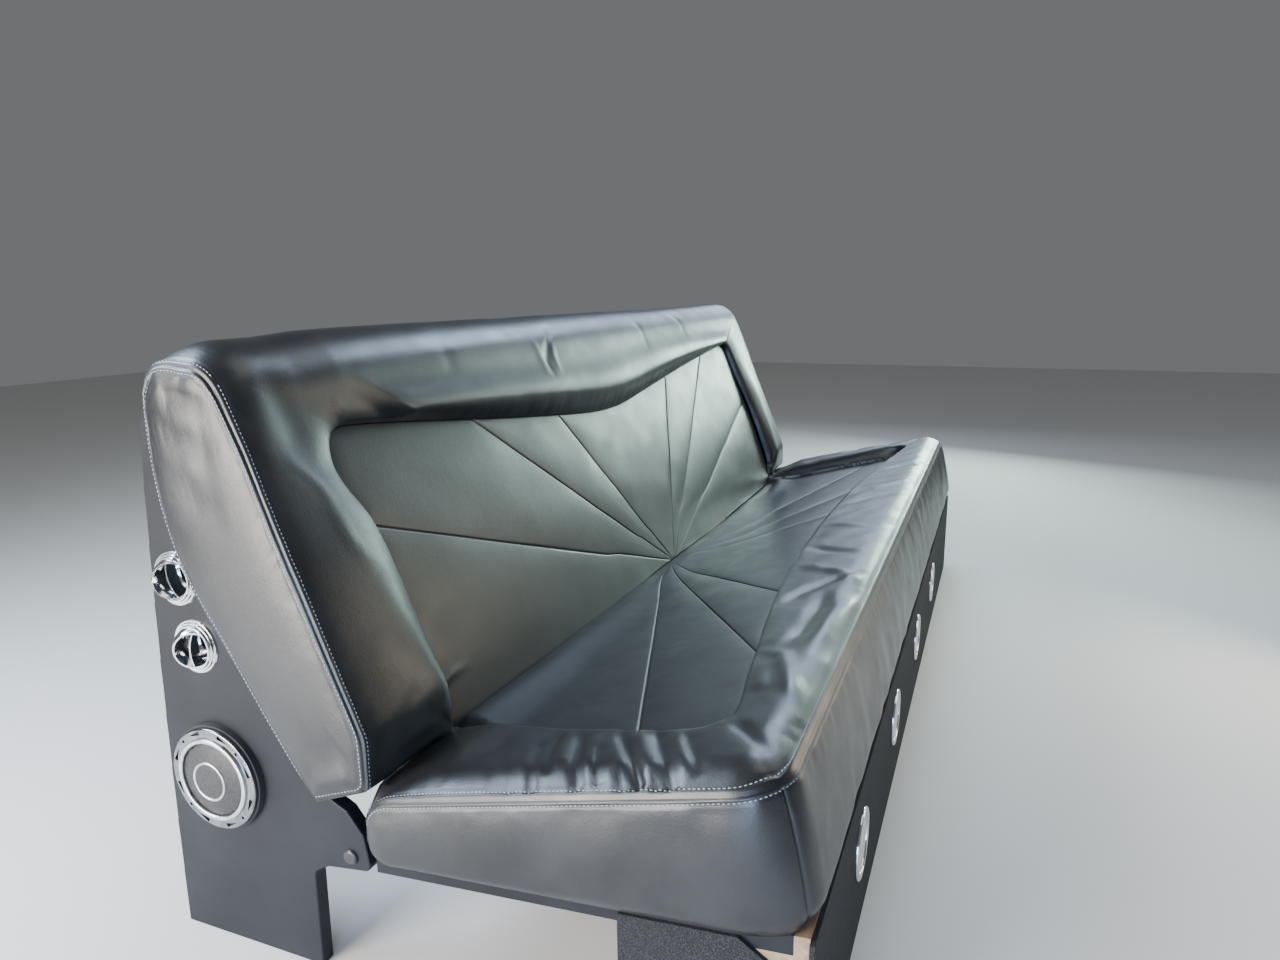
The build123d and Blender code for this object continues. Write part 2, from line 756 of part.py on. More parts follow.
# Back cushion: reclined, hollow in the front, rolled over at the top
with BuildPart() as back_cushion:
    with BuildSketch(Plane.YZ.offset(-half_length)):
        with BuildLine():
            rear = rear_edge(0, back_rear_top)
            Polyline(rear @ 1, (back_low_y, back_low_z), (back_low_y + 3, back_belly_z))
            middle_y = (back_low_y + 3 + back_top_y) / 2 + back_hollow * cos(radians(recline))
            middle_z = (back_belly_z + back_top_z) / 2 - back_hollow * sin(radians(recline))
            front = ThreePointArc(
                (back_low_y + 3, back_belly_z), (middle_y, middle_z), (back_top_y, back_top_z)
            )
            TangentArc(front @ 1, rear @ 0, tangent=front % 1)
        make_face()
        fillet(vertices().sort_by_distance((back_low_y + 3, back_belly_z))[0], radius=60)
    extrude(amount=bench_length)
    # the front and top rims of both ends are rounded, the wall side stays square
    rim_slope = tan(radians(recline))
    for side_x in (-half_length, half_length):
        front_rim = back_cushion.edges().filter_by(
            lambda edge: abs(edge.center().X - side_x) < seat_gap
            and edge.center().Y < back_low_y + rim_reach + (edge.center().Z - back_low_z) * rim_slope
        )
        fillet(front_rim, radius=back_edge_radius)
    # the inset panel: straight sides, an upper edge that dips to the middle, and
    # a floor that follows the hollow face down to the seat
    face_out = (-cos(radians(recline)), sin(radians(recline)))
    sink_y, sink_z = -back_inset_depth * face_out[0], -back_inset_depth * face_out[1]
    inset_x = half_length - back_border
    inset_low = (back_low_z - back_belly_z) / cos(radians(recline)) - 60
    inset_high = (back_inset_top - back_belly_z) / cos(radians(recline))
    belly = (back_low_y + 3, back_belly_z)
    with BuildPart(mode=Mode.PRIVATE) as inset:
        with BuildSketch(Plane(origin=(0, *belly), x_dir=(1, 0, 0), z_dir=(0, *face_out))):
            with BuildLine():
                Polyline(
                    (-inset_x, inset_low),
                    (-inset_x, inset_high),
                    (0, inset_high - back_inset_dip),
                    (inset_x, inset_high),
                    (inset_x, inset_low),
                    close=True,
                )
            make_face()
            fillet(vertices().sort_by(Axis.Y)[2], radius=back_inset_bow)
            fillet(vertices().sort_by(Axis.Y)[-2:], radius=inset_corner_radius)
        extrude(amount=4 * back_inset_depth, both=True)
        with BuildSketch(Plane.YZ.offset(-half_length)):
            with BuildLine():
                floor = ThreePointArc(
                    (belly[0] + sink_y, belly[1] + sink_z),
                    (middle_y + sink_y, middle_z + sink_z),
                    (back_top_y + sink_y, back_top_z + sink_z),
                )
                Polyline(
                    floor @ 1,
                    (belly[0] - 4 * back_inset_depth, back_top_z),
                    (belly[0] - 4 * back_inset_depth, back_foot_z),
                    (belly[0] + back_inset_sink, back_foot_z),
                    (belly[0] + back_inset_sink, back_low_z),
                    floor @ 0,
                )
            make_face()
        extrude(amount=bench_length, mode=Mode.INTERSECT)
    add(inset.part, mode=Mode.SUBTRACT)
save(back_cushion, "back_cushion")
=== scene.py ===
# %% [markdown]
# A long limousine side bench, dressed
#
# The bench is a hard frame of boards and panels that carries two leather
# cushions. The hard pieces come from the packed model and only get their
# finishes here. The leather is made new, because real leather is soft: it
# rolls over foam, folds, and is drawn in along its seams.

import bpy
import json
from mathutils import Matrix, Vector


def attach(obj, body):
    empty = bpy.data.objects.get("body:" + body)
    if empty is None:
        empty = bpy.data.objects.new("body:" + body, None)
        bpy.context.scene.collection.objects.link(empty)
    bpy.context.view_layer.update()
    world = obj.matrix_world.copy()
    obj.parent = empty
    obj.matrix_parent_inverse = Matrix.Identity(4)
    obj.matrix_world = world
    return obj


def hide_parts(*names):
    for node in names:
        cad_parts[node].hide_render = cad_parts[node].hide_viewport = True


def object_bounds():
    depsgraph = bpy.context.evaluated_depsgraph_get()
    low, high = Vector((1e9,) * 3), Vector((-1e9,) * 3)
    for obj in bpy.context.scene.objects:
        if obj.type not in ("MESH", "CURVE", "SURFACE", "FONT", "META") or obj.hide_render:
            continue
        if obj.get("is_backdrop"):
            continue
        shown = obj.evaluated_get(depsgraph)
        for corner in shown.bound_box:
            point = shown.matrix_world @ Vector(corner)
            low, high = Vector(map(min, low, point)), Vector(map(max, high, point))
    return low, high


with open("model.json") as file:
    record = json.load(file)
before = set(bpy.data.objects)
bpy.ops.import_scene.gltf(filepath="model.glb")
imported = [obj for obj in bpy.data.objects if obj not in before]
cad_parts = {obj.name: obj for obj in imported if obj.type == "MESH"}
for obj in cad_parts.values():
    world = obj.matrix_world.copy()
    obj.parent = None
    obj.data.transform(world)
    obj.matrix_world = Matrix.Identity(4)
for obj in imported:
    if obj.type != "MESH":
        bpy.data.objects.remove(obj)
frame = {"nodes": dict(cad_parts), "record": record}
cad_box = [list(corner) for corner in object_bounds()]

import json

import bmesh
import bpy
import numpy as np
from mathutils import Matrix, Vector

MM = 0.001
print("hard pieces:", len(frame["nodes"]), "box:", cad_box)

# %% [markdown]
# The camera stands at the open end of the bench, a little above the top of the
# back, and looks along the seat. A camera is set by where it stands and by
# three directions: right, up and back. Those are the columns of its matrix, so
# no angle has to be guessed twice.

# %% Camera at the open end


def put_in_scene(name, data):
    """A new object of the scene that shows the given data."""
    thing = bpy.data.objects.new(name, data)
    bpy.context.scene.collection.objects.link(thing)
    return thing


yaw, tilt, roll = np.radians([22.32, -12.26, -0.63])
ahead = np.array([np.cos(tilt) * np.cos(yaw), np.cos(tilt) * np.sin(yaw), np.sin(tilt)])
level_right = np.array([np.sin(yaw), -np.cos(yaw), 0.0])
right = level_right * np.cos(roll) + np.cross(level_right, ahead) * np.sin(roll)
lens = bpy.data.cameras.new("bench_camera")
lens.sensor_width = 36.0
lens.lens = lens.sensor_width * 888 / 1280  # focal length and picture width in picture points
camera = put_in_scene("bench_camera", lens)
turn = Matrix(np.column_stack([right, np.cross(right, ahead), -ahead]).tolist()).to_4x4()
camera.matrix_world = Matrix.Translation((-1.947, -0.616, 0.938)) @ turn
bpy.context.scene.camera = camera
print("camera lens in mm:", round(lens.lens, 2))

# %% [markdown]
# The bench stands on a pale floor in a dim, even room. The floor is a stage:
# it is marked as one, and it isn't part of the bench.

# %% Floor and room


def shade(name, base, roughness, metallic=0.0):
    """A new material with a plain shader, to be given its detail next."""
    finish = bpy.data.materials.new(name)
    finish.use_nodes = True
    shader = finish.node_tree.nodes["Principled BSDF"]
    shader.inputs["Base Color"].default_value = (*base, 1)
    shader.inputs["Roughness"].default_value = roughness
    shader.inputs["Metallic"].default_value = metallic
    return finish


floor_mesh = bpy.data.meshes.new("pale_floor")
floor_mesh.from_pydata([(-9, -9, 0), (9, -9, 0), (9, 9, 0), (-9, 9, 0)], [], [(0, 1, 2, 3)])
floor_mesh.materials.append(shade("pale_floor_paint", (0.72, 0.71, 0.69), 0.75))
floor = put_in_scene("pale_floor", floor_mesh)
floor.location.z = -0.0005
floor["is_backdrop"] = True

world = bpy.data.worlds.new("pale_room")
world.use_nodes = True
world.node_tree.nodes["Background"].inputs["Color"].default_value = (0.80, 0.83, 0.86, 1)
world.node_tree.nodes["Background"].inputs["Strength"].default_value = 0.2
bpy.context.scene.world = world
print("made:", floor.name, "and", world.name)

# %% [markdown]
# Black leather shows its shape only through reflections, so the lights matter
# more than on a pale object. Each soft light stands where one part of the
# leather mirrors it towards the camera: two at the near end for the end faces,
# one above, one behind for the crest, and five at the far end and in front for
# the seat, its pleats and the back. Their tints are those of cool and warm
# daylight.

# %% Soft lights
soft_lights = [  # name, place, aim, size in metres, watts, tint
    ("near", (-3.1, 1.1, 0.8), (-1.1, 0.1, 0.45), 1.5, 185, (1.0, 0.96, 0.91)),
    ("low_near", (-3.2, -0.9, 0.5), (-1.1, -0.3, 0.3), 1.0, 60, (0.50, 0.68, 1.0)),
    ("overhead", (0.2, -0.8, 3.0), (0.1, 0.0, 0.4), 2.0, 24, (0.95, 0.98, 1.0)),
    ("crest", (-1.5, 1.7, 1.9), (-1.1, -0.1, 0.3), 1.0, 90, (0.66, 0.80, 1.0)),
    ("front", (2.1, -1.5, 1.3), (-0.6, 0.2, 0.6), 1.0, 9, (0.80, 1.0, 0.94)),
    ("far_front", (3.3, -0.62, 1.12), (0.7, 0.27, 0.75), 0.6, 40, (0.72, 1.0, 0.90)),
    ("pleats", (1.1, -0.05, 2.0), (-1.07, -0.25, 0.4), 0.8, 26, (0.60, 0.76, 1.0)),
    ("far", (3.6, 0.3, 1.9), (-0.4, -0.1, 0.35), 1.2, 24, (0.66, 0.80, 1.0)),
    ("low_warm", (0.55, -1.5, 0.62), (-1.0, 0.1, 0.45), 0.6, 8, (1.0, 0.86, 0.68)),
]
for name, place, aim, size, watts, tint in soft_lights:
    light = bpy.data.lights.new(name + "_light", "AREA")
    light.size, light.energy, light.color = size, watts, tint
    lamp = put_in_scene(light.name, light)
    lamp.location = place
    lamp.rotation_euler = (Vector(aim) - Vector(place)).to_track_quat("-Z", "Y").to_euler()
    lamp.visible_camera = False
print("lights:", len(soft_lights))

# %% [markdown]
# Each cushion is drawn on its own flat pattern, the way an upholsterer draws
# it. One pattern direction runs along the bench, the other up the padded face
# from the crease. The first tools draw smooth lines through marked points and
# measure along those lines and to them. All of it is array arithmetic, so a
# hundred thousand points cost little.

# %% Lines on a leather pattern


def smooth_line(points, step=2.0):
    """A smooth line through the points, sampled about every step."""
    p = np.array(points, float)
    p = np.vstack([2 * p[0] - p[1], p, 2 * p[-1] - p[-2]])
    line = []
    for a, b, c, d in zip(p[:-3], p[1:-2], p[2:-1], p[3:]):
        count = max(2, int(np.hypot(*(c - b)) / step))
        t = np.linspace(0, 1, count, endpoint=False)[:, None]
        curve = 2 * b + (c - a) * t + (2 * a - 5 * b + 4 * c - d) * t**2
        line.append(0.5 * (curve + (3 * b - a - 3 * c + d) * t**3))
    return np.vstack([*line, p[-2:-1]])


def lengths(line):
    """How far along the line each of its points lies."""
    return np.concatenate([[0], np.cumsum(np.linalg.norm(np.diff(line, axis=0), axis=1))])


def at(values, places, line=None):
    """Values that go with the points of a line, read at places along it."""
    run = lengths(values if line is None else line)
    return np.column_stack([np.interp(places, run, column) for column in values.T])


def to_line(x, v, line):
    """Distance of every point to the line, and its share of the way along it."""
    nearest, share = np.full(x.shape, 1e9), np.zeros(x.shape)
    run = lengths(line)
    for (ax, av), (bx, bv), start, step in zip(line[:-1], line[1:], run, np.diff(run)):
        t = np.clip(((x - ax) * (bx - ax) + (v - av) * (bv - av)) / step**2, 0, 1)
        gap = np.hypot(x - ax - t * (bx - ax), v - av - t * (bv - av))
        closer = gap < nearest
        nearest = np.where(closer, gap, nearest)
        share = np.where(closer, (start + t * step) / run[-1], share)
    return nearest, share


print("points on a line through three marks:", len(smooth_line([(0, 0), (50, 9), (99, 0)])))

# %% [markdown]
# Heights are added up from a few soft shapes: a bell for a ridge, a quarter
# round for a padded edge, a slope, and smooth noise. A fold is a bell that
# follows a drawn line and fades at both ends. A sewn edge has the groove, the
# lip and the sunk stitches of a real double seam.

# %% Soft shapes for heights


def ease(t):
    """0 to 1 with a soft start and a soft end."""
    t = np.clip(t, 0, 1)
    return t * t * (3 - 2 * t)


def bell(distance, width):
    """1 at distance 0, falling softly to 0 over about twice the width."""
    return np.exp(-((distance / width) ** 2))


def roll_edge(distance, radius):
    """Height of a quarter-round padded edge, 0 at the seam and 1 past the radius."""
    q = np.clip(distance / radius, 0, 1)
    return np.sqrt(np.maximum(0, 1 - (1 - q) ** 2))


def pad_edge(distance, radius, power=2.0):
    """Height of a soft padded slope, 0 at the seam and 1 past the radius."""
    return 1 - (1 - np.clip(distance / radius, 0, 1)) ** power


def soft_noise(x, v, seed):
    """Smooth bumps from -1 to 1, about one per unit."""
    table = np.random.default_rng(seed).uniform(-1, 1, (128, 128))
    i, j = np.floor(x).astype(int), np.floor(v).astype(int)
    s, t = ease(x - i), ease(v - j)
    near = table[i % 128, j % 128] * (1 - s) + table[(i + 1) % 128, j % 128] * s
    far = table[i % 128, (j + 1) % 128] * (1 - s) + table[(i + 1) % 128, (j + 1) % 128] * s
    return near * (1 - t) + far * t


def folds(x, v, drawn, fade=(0.3, 0.3)):
    """Soft ridges, or valleys where the height is below 0: (height, width, x, v, x, v ...)."""
    total = np.zeros(x.shape)
    for height, width, *marks in drawn:
        gap, share = to_line(x, v, smooth_line(np.reshape(marks, (-1, 2)), 8.0))
        total += height * bell(gap, width) * ease(share / fade[0]) * ease((1 - share) / fade[1])
    return total


def sewn_edge(distance):
    """A double-stitched seam: a groove, a lip beside it and a sunk row of stitches."""
    groove, lip = -2.4 * bell(distance, 1.2), 0.9 * bell(distance - 3.0, 1.7)
    return groove + lip - 0.8 * bell(distance - 6.6, 1.2) + 0.25 * bell(distance - 9.6, 2.2)


print("a padded edge, seen at four places:", roll_edge(np.array([0, 10, 25, 50]), 45).round(2))

# %% [markdown]
# A pattern becomes a mesh as strips of four-sided faces. Lines of points run
# along the seams, close together beside a seam and wider apart on the open
# leather, so that a seam stays crisp without a heavy mesh. The strips of one
# cover share their border points and are welded into one closed skin.

# %% From pattern to mesh
fine = [0, 1.3, 2.6, 4.2, 6.6, 9, 12.5, 17, 23, 30, 39]  # rows beside an outer seam
fine_inner = [0, 1.5, 3.4, 6, 9.5, 14, 20, 28, 38]
stitch_line = fine.index(6.6)


def border_rows(outer, inner, middle):
    """A border's points in rows between its seams, and their gaps to the inner seam."""
    width = np.hypot(*(inner - outer).T)
    shares = [np.minimum(d / width, 0.49) for d in fine]
    last_out, last_in = shares[-1], np.minimum(fine_inner[-1] / width, 0.49)
    shares += [last_out + (1 - last_in - last_out) * k / (middle + 1) for k in range(1, middle + 1)]
    shares += [1 - np.minimum(d / width, 0.49) for d in reversed(fine_inner)]
    x, v = np.moveaxis(np.array([outer + (inner - outer) * s[:, None] for s in shares]), -1, 0)
    return x, v, np.hypot(x - inner[:, 0], v - inner[:, 1])


def strip_faces(rows, columns, first=0, around=False):
    """Faces of a grid of points, stored row by row from index first."""
    faces = []
    for r in range(rows - 1):
        for c in range(columns if around else columns - 1):
            a, b = first + r * columns + c, first + r * columns + (c + 1) % columns
            faces.append((a, b, b + columns, a + columns))
    return faces


def new_piece(name, points, faces, weld=0.0, closed=False):
    """A mesh object on the bench, from points in millimetres that may be welded."""
    mesh = bpy.data.meshes.new(name)
    mesh.from_pydata((np.array(points) * MM).tolist(), [], faces)
    shape = bmesh.new()
    shape.from_mesh(mesh)
    if weld:
        bmesh.ops.remove_doubles(shape, verts=shape.verts, dist=weld * MM)
    if closed:
        bmesh.ops.dissolve_degenerate(shape, edges=shape.edges, dist=0.01 * MM)
        bmesh.ops.recalc_face_normals(shape, faces=shape.faces)
    shape.to_mesh(mesh)
    shape.free()
    piece = put_in_scene(name, mesh)
    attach(piece, "root")
    print(name, "faces:", len(mesh.polygons))
    return piece


def skin(name, *grids):
    """One welded, smooth cover from grids of points; True closes a grid round."""
    points, faces = [], []
    for grid, around in grids:
        rows, columns = grid.shape[:2]
        faces += strip_faces(rows, columns, sum(len(p) for p in points), around)
        points.append(grid.reshape(-1, 3))
    cover = new_piece(name, np.vstack(points), faces, weld=0.3, closed=True)
    cover.data.shade_smooth()
    return cover


print("rows beside a seam, in mm:", fine)

# %% [markdown]
# The seat cushion slopes up to the front. Its pattern starts in the crease and
# has a padded border on three sides of a sunken middle panel. The border is
# drawn between two seams: the boxing seam along the outer edge, and the seam
# of the middle panel, which flares at the ends and bows in the middle. Its
# columns of points stand closer where a seam of the fan or of the boxing ends.

# %% Seat pattern
seat_half = 1136.0
seat_front = 551.5  # along the slope, from the crease to the front seam
seat_back = -12.0
front_round, rear_round = 62.0, 14.0  # corner radii of the boxing seam
seat_slope = np.radians(13.6)
seat_centre = np.array([-35.0, seat_back])


def arc(centre, radius, start, end, count=17):
    """Points of an arc between two angles in degrees."""
    turn = np.radians(np.linspace(start, end, count))[:, None]
    return np.array(centre) + radius * np.hstack([np.cos(turn), np.sin(turn)])


def both_halves(near_half):
    """The near half of a seam and its mirror image, as one line."""
    return np.vstack([near_half, near_half[::-1][1:] * (-1, 1)])


rear_corner = arc((rear_round - seat_half, seat_back + rear_round), rear_round, 270, 180)
front_corner = arc((front_round - seat_half, seat_front - front_round), front_round, 180, 90)
seat_outer = both_halves(np.vstack([rear_corner, front_corner, [[0, seat_front]]]))
seat_inner = [(-926, seat_back), (-968, 130), (-991, 235), (-1008, 330), (-1012, 392), (-1000, 432)]
seat_inner += [(-963, 450), (-848, 432), (-650, 402), (-450, 378), (-250, 363), (0, 357)]
seat_inner = both_halves(smooth_line(seat_inner))


def mark(line, x, v):
    """Distance along the line of the place nearest to a pattern point."""
    return lengths(line)[np.argmin(np.hypot(line[:, 0] - x, line[:, 1] - v))]


def both_marks(line, near):
    """Places along a seam that face the marked points of its near half, and their mirror images."""
    places = [mark(line, *point) for point in near]
    return places + [lengths(line)[-1] - m for m in places[-2::-1]]


def columns_along(seam, step, special):
    """Even places along a seam, with a close group at each special place."""
    total = lengths(seam)[-1]
    even = np.linspace(0, total, int(total / step) + 1)
    close = np.add.outer(special, [-4.2, -2.4, -1.1, 0, 1.1, 2.4, 4.2]).ravel()
    for s in special:
        even = even[(np.abs(even - s) > 5.5) | (even == 0) | (even == total)]
    return np.unique(np.concatenate([even, close[(close > 0.5) & (close < total - 0.5)]]))


inner_marks = both_marks(seat_inner, [(-926, -12), (-937, 30), (-1012, 392), (-963, 450), (0, 357)])
outer_marks = both_marks(
    seat_outer, [(-1122, -12), (-1136, 22), (-1136, 489), (-1074, 551.5), (0, 551.5)]
)
seat_rays = [(-1006, 322), (-700, 409), (-376, 371), (306, 368), (630, 400), (1008, 345)]
upright_seam = (-1104, 537)
special = [mark(seat_inner, *end) for end in seat_rays]
special.append(np.interp(mark(seat_outer, *upright_seam), outer_marks, inner_marks))
seat_columns = columns_along(seat_inner, 5.6, special)
seat_in = at(seat_inner, seat_columns)
seat_out = at(seat_outer, np.interp(seat_columns, inner_marks, outer_marks))
print("seat pattern columns:", len(seat_columns))

# %% [markdown]
# Heights turn the flat pattern into a padded one. First comes the form under
# the leather: the middle panel lies sunk between the seams, the crease sinks
# towards the far end of the bench, and both open ends fall away at their
# rounded rear corner.

# %% Form under the seat's leather
seat_crown = 24.0
seam_groove = 2.6  # depth of the groove round the middle panel


def seat_recess(v):
    """How far the middle panel's seam lies from the boxing seam's plane."""
    return -15.0 * ease((v + 10) / 110)


def crease_z(x):
    """Height above the floor where seat and back meet, sunk towards the far end."""
    return np.interp(x, [-944, -600, -47, 359, 880, 964], [307, 301, 293, 287.5, 288, 302])


def crease_rise(x):
    """The same height, over the boxing seam's plane."""
    return (crease_z(x) - 297.2) / np.cos(seat_slope)


def end_drop(x, v):
    """How far the rounded rear corner of the seat's open ends falls away."""
    t = np.clip((32 - v) / 34, 0, 1)
    return 25 * (1 - np.sqrt(1 - t**2)) * ease((np.abs(x) - 1090) / 40)


def rounded_box_gap(x, v):
    """Distance from a pattern point to the boxing seam."""
    corner = np.where(v > (seat_front + seat_back) / 2, front_round, rear_round)
    qx = np.abs(x) - (seat_half - corner)
    qv = np.maximum(v - (seat_front - corner), (seat_back + corner) - v)
    outside = np.hypot(np.maximum(qx, 0), np.maximum(qv, 0))
    return corner - outside - np.minimum(np.maximum(qx, qv), 0)


print("height of the crease at both ends:", crease_z([-944, 964]))

# %% [markdown]
# Next come the folds of real leather: along the near end the slanting pleats
# where the hide was gathered to its seam, on the front a few long soft ones.
# Each fold is a height, a width and the line that it has on the real seat. A
# height below 0 makes a valley.

# %% Folds of the seat
near_pleats = [
    (-5.5, 8, -1012, 262, -1050, 276, -1096, 294, -1130, 312),
    (-3.6, 6, -1050, 303, -1085, 318, -1128, 334),
    (-6.5, 8, -1016, 318, -1050, 338, -1095, 368, -1130, 390),
    (-6.0, 8, -1018, 370, -1055, 387, -1098, 411, -1132, 428),
    (-3.4, 5, -1108, 399, -1132, 410),
    (-3.0, 5, -1104, 352, -1132, 368),
    (-4.6, 7, -1030, 214, -1070, 226, -1112, 241, -1132, 248),
    (-4.2, 6, -1010, 226, -1040, 234, -1078, 246, -1110, 262),
    (-2.4, 7, -1080, 200, -1112, 210, -1132, 218),
    (-1.6, 8, -1070, 172, -1108, 182, -1130, 190),
    (-3.0, 8, -1028, 412, -1070, 432, -1118, 460),
    (-3.4, 10, -1005, 462, -1035, 488, -1070, 516, -1108, 540),
    (2.6, 8, -1022, 290, -1060, 300, -1110, 318),
    (2.8, 9, -1020, 345, -1065, 366, -1115, 396),
    (2.2, 8, -1022, 396, -1070, 418, -1116, 444),
    (2.4, 7, -1010, 244, -1050, 254, -1100, 274),
]
front_folds = [
    (5.0, 13, -760, 440, -802, 473, -890, 506, -975, 536),
    (3.0, 12, -805, 468, -860, 462, -930, 476),
    (5.5, 15, -514, 539, -677, 524, -805, 514),
    (-5.0, 14, -470, 470, -570, 486, -710, 482, -790, 462),
    (-5.5, 12, -400, 545, -452, 482, -514, 436, -590, 424),
    (4.0, 14, -310, 400, -370, 440, -420, 500, -500, 530),
    (-3.6, 13, -190, 380, -250, 440, -300, 520),
    (3.2, 15, -10, 390, -50, 450, -130, 530),
    (-3.4, 14, 170, 392, 230, 460, 220, 530),
    (3.0, 15, 410, 405, 360, 470, 400, 535),
    (-3.0, 13, 570, 430, 620, 490, 580, 535),
    (-3.2, 9, 1030, 250, 1070, 262, 1122, 300),
    (-3.6, 9, 1025, 350, 1075, 372, 1125, 410),
    (-3.0, 9, 1010, 440, 1060, 470, 1110, 500),
]
print("folds drawn on the seat:", len(near_pleats + front_folds))

# %% [markdown]
# The border rises from both its seams over foam, and it is pressed down where
# the back cushion stands on it. The folds are laid over that, and a little
# noise keeps them from looking ruled. The padded pattern is then placed on the
# slope of the seat.

# %% Seat border


def seat_border_height(x, v, gap_in):
    """Height of the padded border over the boxing seam's plane."""
    gap_out = rounded_box_gap(x, v)
    pressed = 0.27 + 0.73 * ease(v / 110)  # the back cushion presses the border down
    gap_ends = np.where(v < 200, seat_half - np.abs(x), gap_out)
    crown = seat_crown * pressed * pad_edge(gap_ends, 50, 2.2) * roll_edge(v - seat_back, 14)
    inner = roll_edge(gap_in, 15)
    height = crown * inner + seat_recess(v) * (1 - inner) - seam_groove * bell(gap_in, 2.4)
    height += 0.85 * ease(gap_out / 5) * folds(x, v, near_pleats, (0.2, 0.03))
    height += ease(gap_out / 18) * folds(x, v, front_folds)
    uneven = 1.3 * soft_noise(x / 55, v / 38, 3) + 0.35 * soft_noise(x / 21, v / 17, 4)
    height += ease(gap_out / 16) * ease(gap_in / 12) * uneven
    along = np.where(v > seat_front - np.maximum(0, np.abs(x) - 970), x, v)
    gathers = bell(gap_out - 14, 10) + 0.6 * bell(gap_in, 14)
    height += 1.1 * gathers * soft_noise(along / 8, gap_out / 60, 5)
    return height + sewn_edge(gap_out)


def on_seat(x, v, height):
    """Places pattern points on the sloping seat, lifted square to it."""
    crease_y = 98 + 0.385 * (crease_z(x) - 300)
    ahead = (110.7 - crease_y) * ease((946 - np.abs(x)) / 30) * (1 - ease((v + 12) / 70))
    y = 99 - v * np.cos(seat_slope) + height * np.sin(seat_slope) - ahead
    z = 300 + v * np.sin(seat_slope) + height * np.cos(seat_slope) - end_drop(x, v)
    return np.stack([x, y, z], -1)


border_x, border_v, border_gap = border_rows(seat_out, seat_in, 9)
border_height = seat_border_height(border_x, border_v, border_gap)
seat_border_3d = on_seat(border_x, border_v, border_height)
print("border height from", border_height.min().round(1), "to", border_height.max().round(1))

# %% [markdown]
# The middle panel is sewn from wedges that fan out from one point in the
# crease. Its mesh does the same: every column of points runs from the edge
# seam to that point, so each seam of the fan follows a line of the mesh. In
# the crease the panel rises or sinks to the line where it meets the back.

# %% Seat middle panel


def fan_rows(edge, centre):
    """Rows of points from the panel's edge towards the centre of the fan."""
    reach = np.hypot(*(edge - centre).T)
    shares = [step / reach for step in (0, 1.5, 3.2, 5.5, 9, 14, 21, 30)]
    for k, even in enumerate(np.linspace(0.042, 1, 34)):
        shares.append(np.maximum(even, 30 / reach + (k + 1) * 0.002))
    return np.array([edge + (centre - edge) * np.clip(s, 0, 0.996)[:, None] for s in shares])


def sewn_panel(edge, seam, centre, ray_ends):
    """A middle panel's points in rows, their gaps to its seam, and their heights over it."""
    x, v = np.moveaxis(fan_rows(edge, centre), -1, 0)
    gap_in, _ = to_line(x, v, seam[::12])
    gap_ray = np.min([to_line(x, v, np.array([centre, end]))[0] for end in ray_ends], axis=0)
    reach = np.hypot(x - centre[0], v - centre[1])
    puff = 2.4 * (1 - np.exp(-np.minimum(gap_ray, gap_in) / 20)) * ease(reach / 260)
    return x, v, gap_in, puff - 1.7 * bell(gap_ray, 1.4) * ease(reach / 60)


panel_x, panel_v, panel_gap, panel_rise = sewn_panel(seat_in, seat_inner, seat_centre, seat_rays)
panel_rise += 0.8 * soft_noise(panel_x / 90, panel_v / 60, 8) * ease(panel_gap / 30)
panel_rise[0] = -seam_groove
near_crease = bell(panel_v + 12, 60) * ease(panel_gap / 30)
level = seat_recess(panel_v) * (1 - near_crease) + near_crease * crease_rise(panel_x)
seat_panel_3d = on_seat(panel_x, panel_v, level + panel_rise * (1 - near_crease))
print("middle panel rows:", len(panel_x))

# %% [markdown]
# The boxing is the upright band round the cushion. It bulges a little, because
# the foam pushes it out, turns under at the bottom and leans back at the
# front. One upright seam closes it at the near front corner.

# %% Seat boxing
rear_line = np.array([[seat_half - rear_round, seat_back], [rear_round - seat_half, seat_back]])
rear_places = np.linspace(0, lengths(rear_line)[-1], 90)[1:-1]
seat_loop = np.vstack([seat_out, at(rear_line, rear_places)])
loop_x, loop_v = seat_loop.T
loop_place = lengths(np.vstack([seat_loop, seat_loop[:1]]))[:-1]
way_x, way_v = (np.roll(seat_loop, -1, 0) - np.roll(seat_loop, 1, 0)).T
outward = np.stack([-way_v, -way_x * np.cos(seat_slope), 0 * way_x], -1)
outward /= np.hypot(way_x, way_v)[:, None]


def board_z(y):
    """Height of the sloping seat board's top."""
    return 203.4 + (112 - y) * np.tan(np.radians(4.6))


def boxing_foot(x, v):
    """Lower edge of the boxing under a point of the boxing seam."""
    y = 99 - v * np.cos(seat_slope) - 39.5 * ease((v - 470) / 81) - 20 * ease((v - 540) / 400)
    y = np.maximum(y, -476.5)
    z = board_z(np.maximum(y, -466)) + 12.0 * ease((-y - 452) / 20) + 1.25 * end_drop(x, v)
    return np.stack([x, y, z], -1)


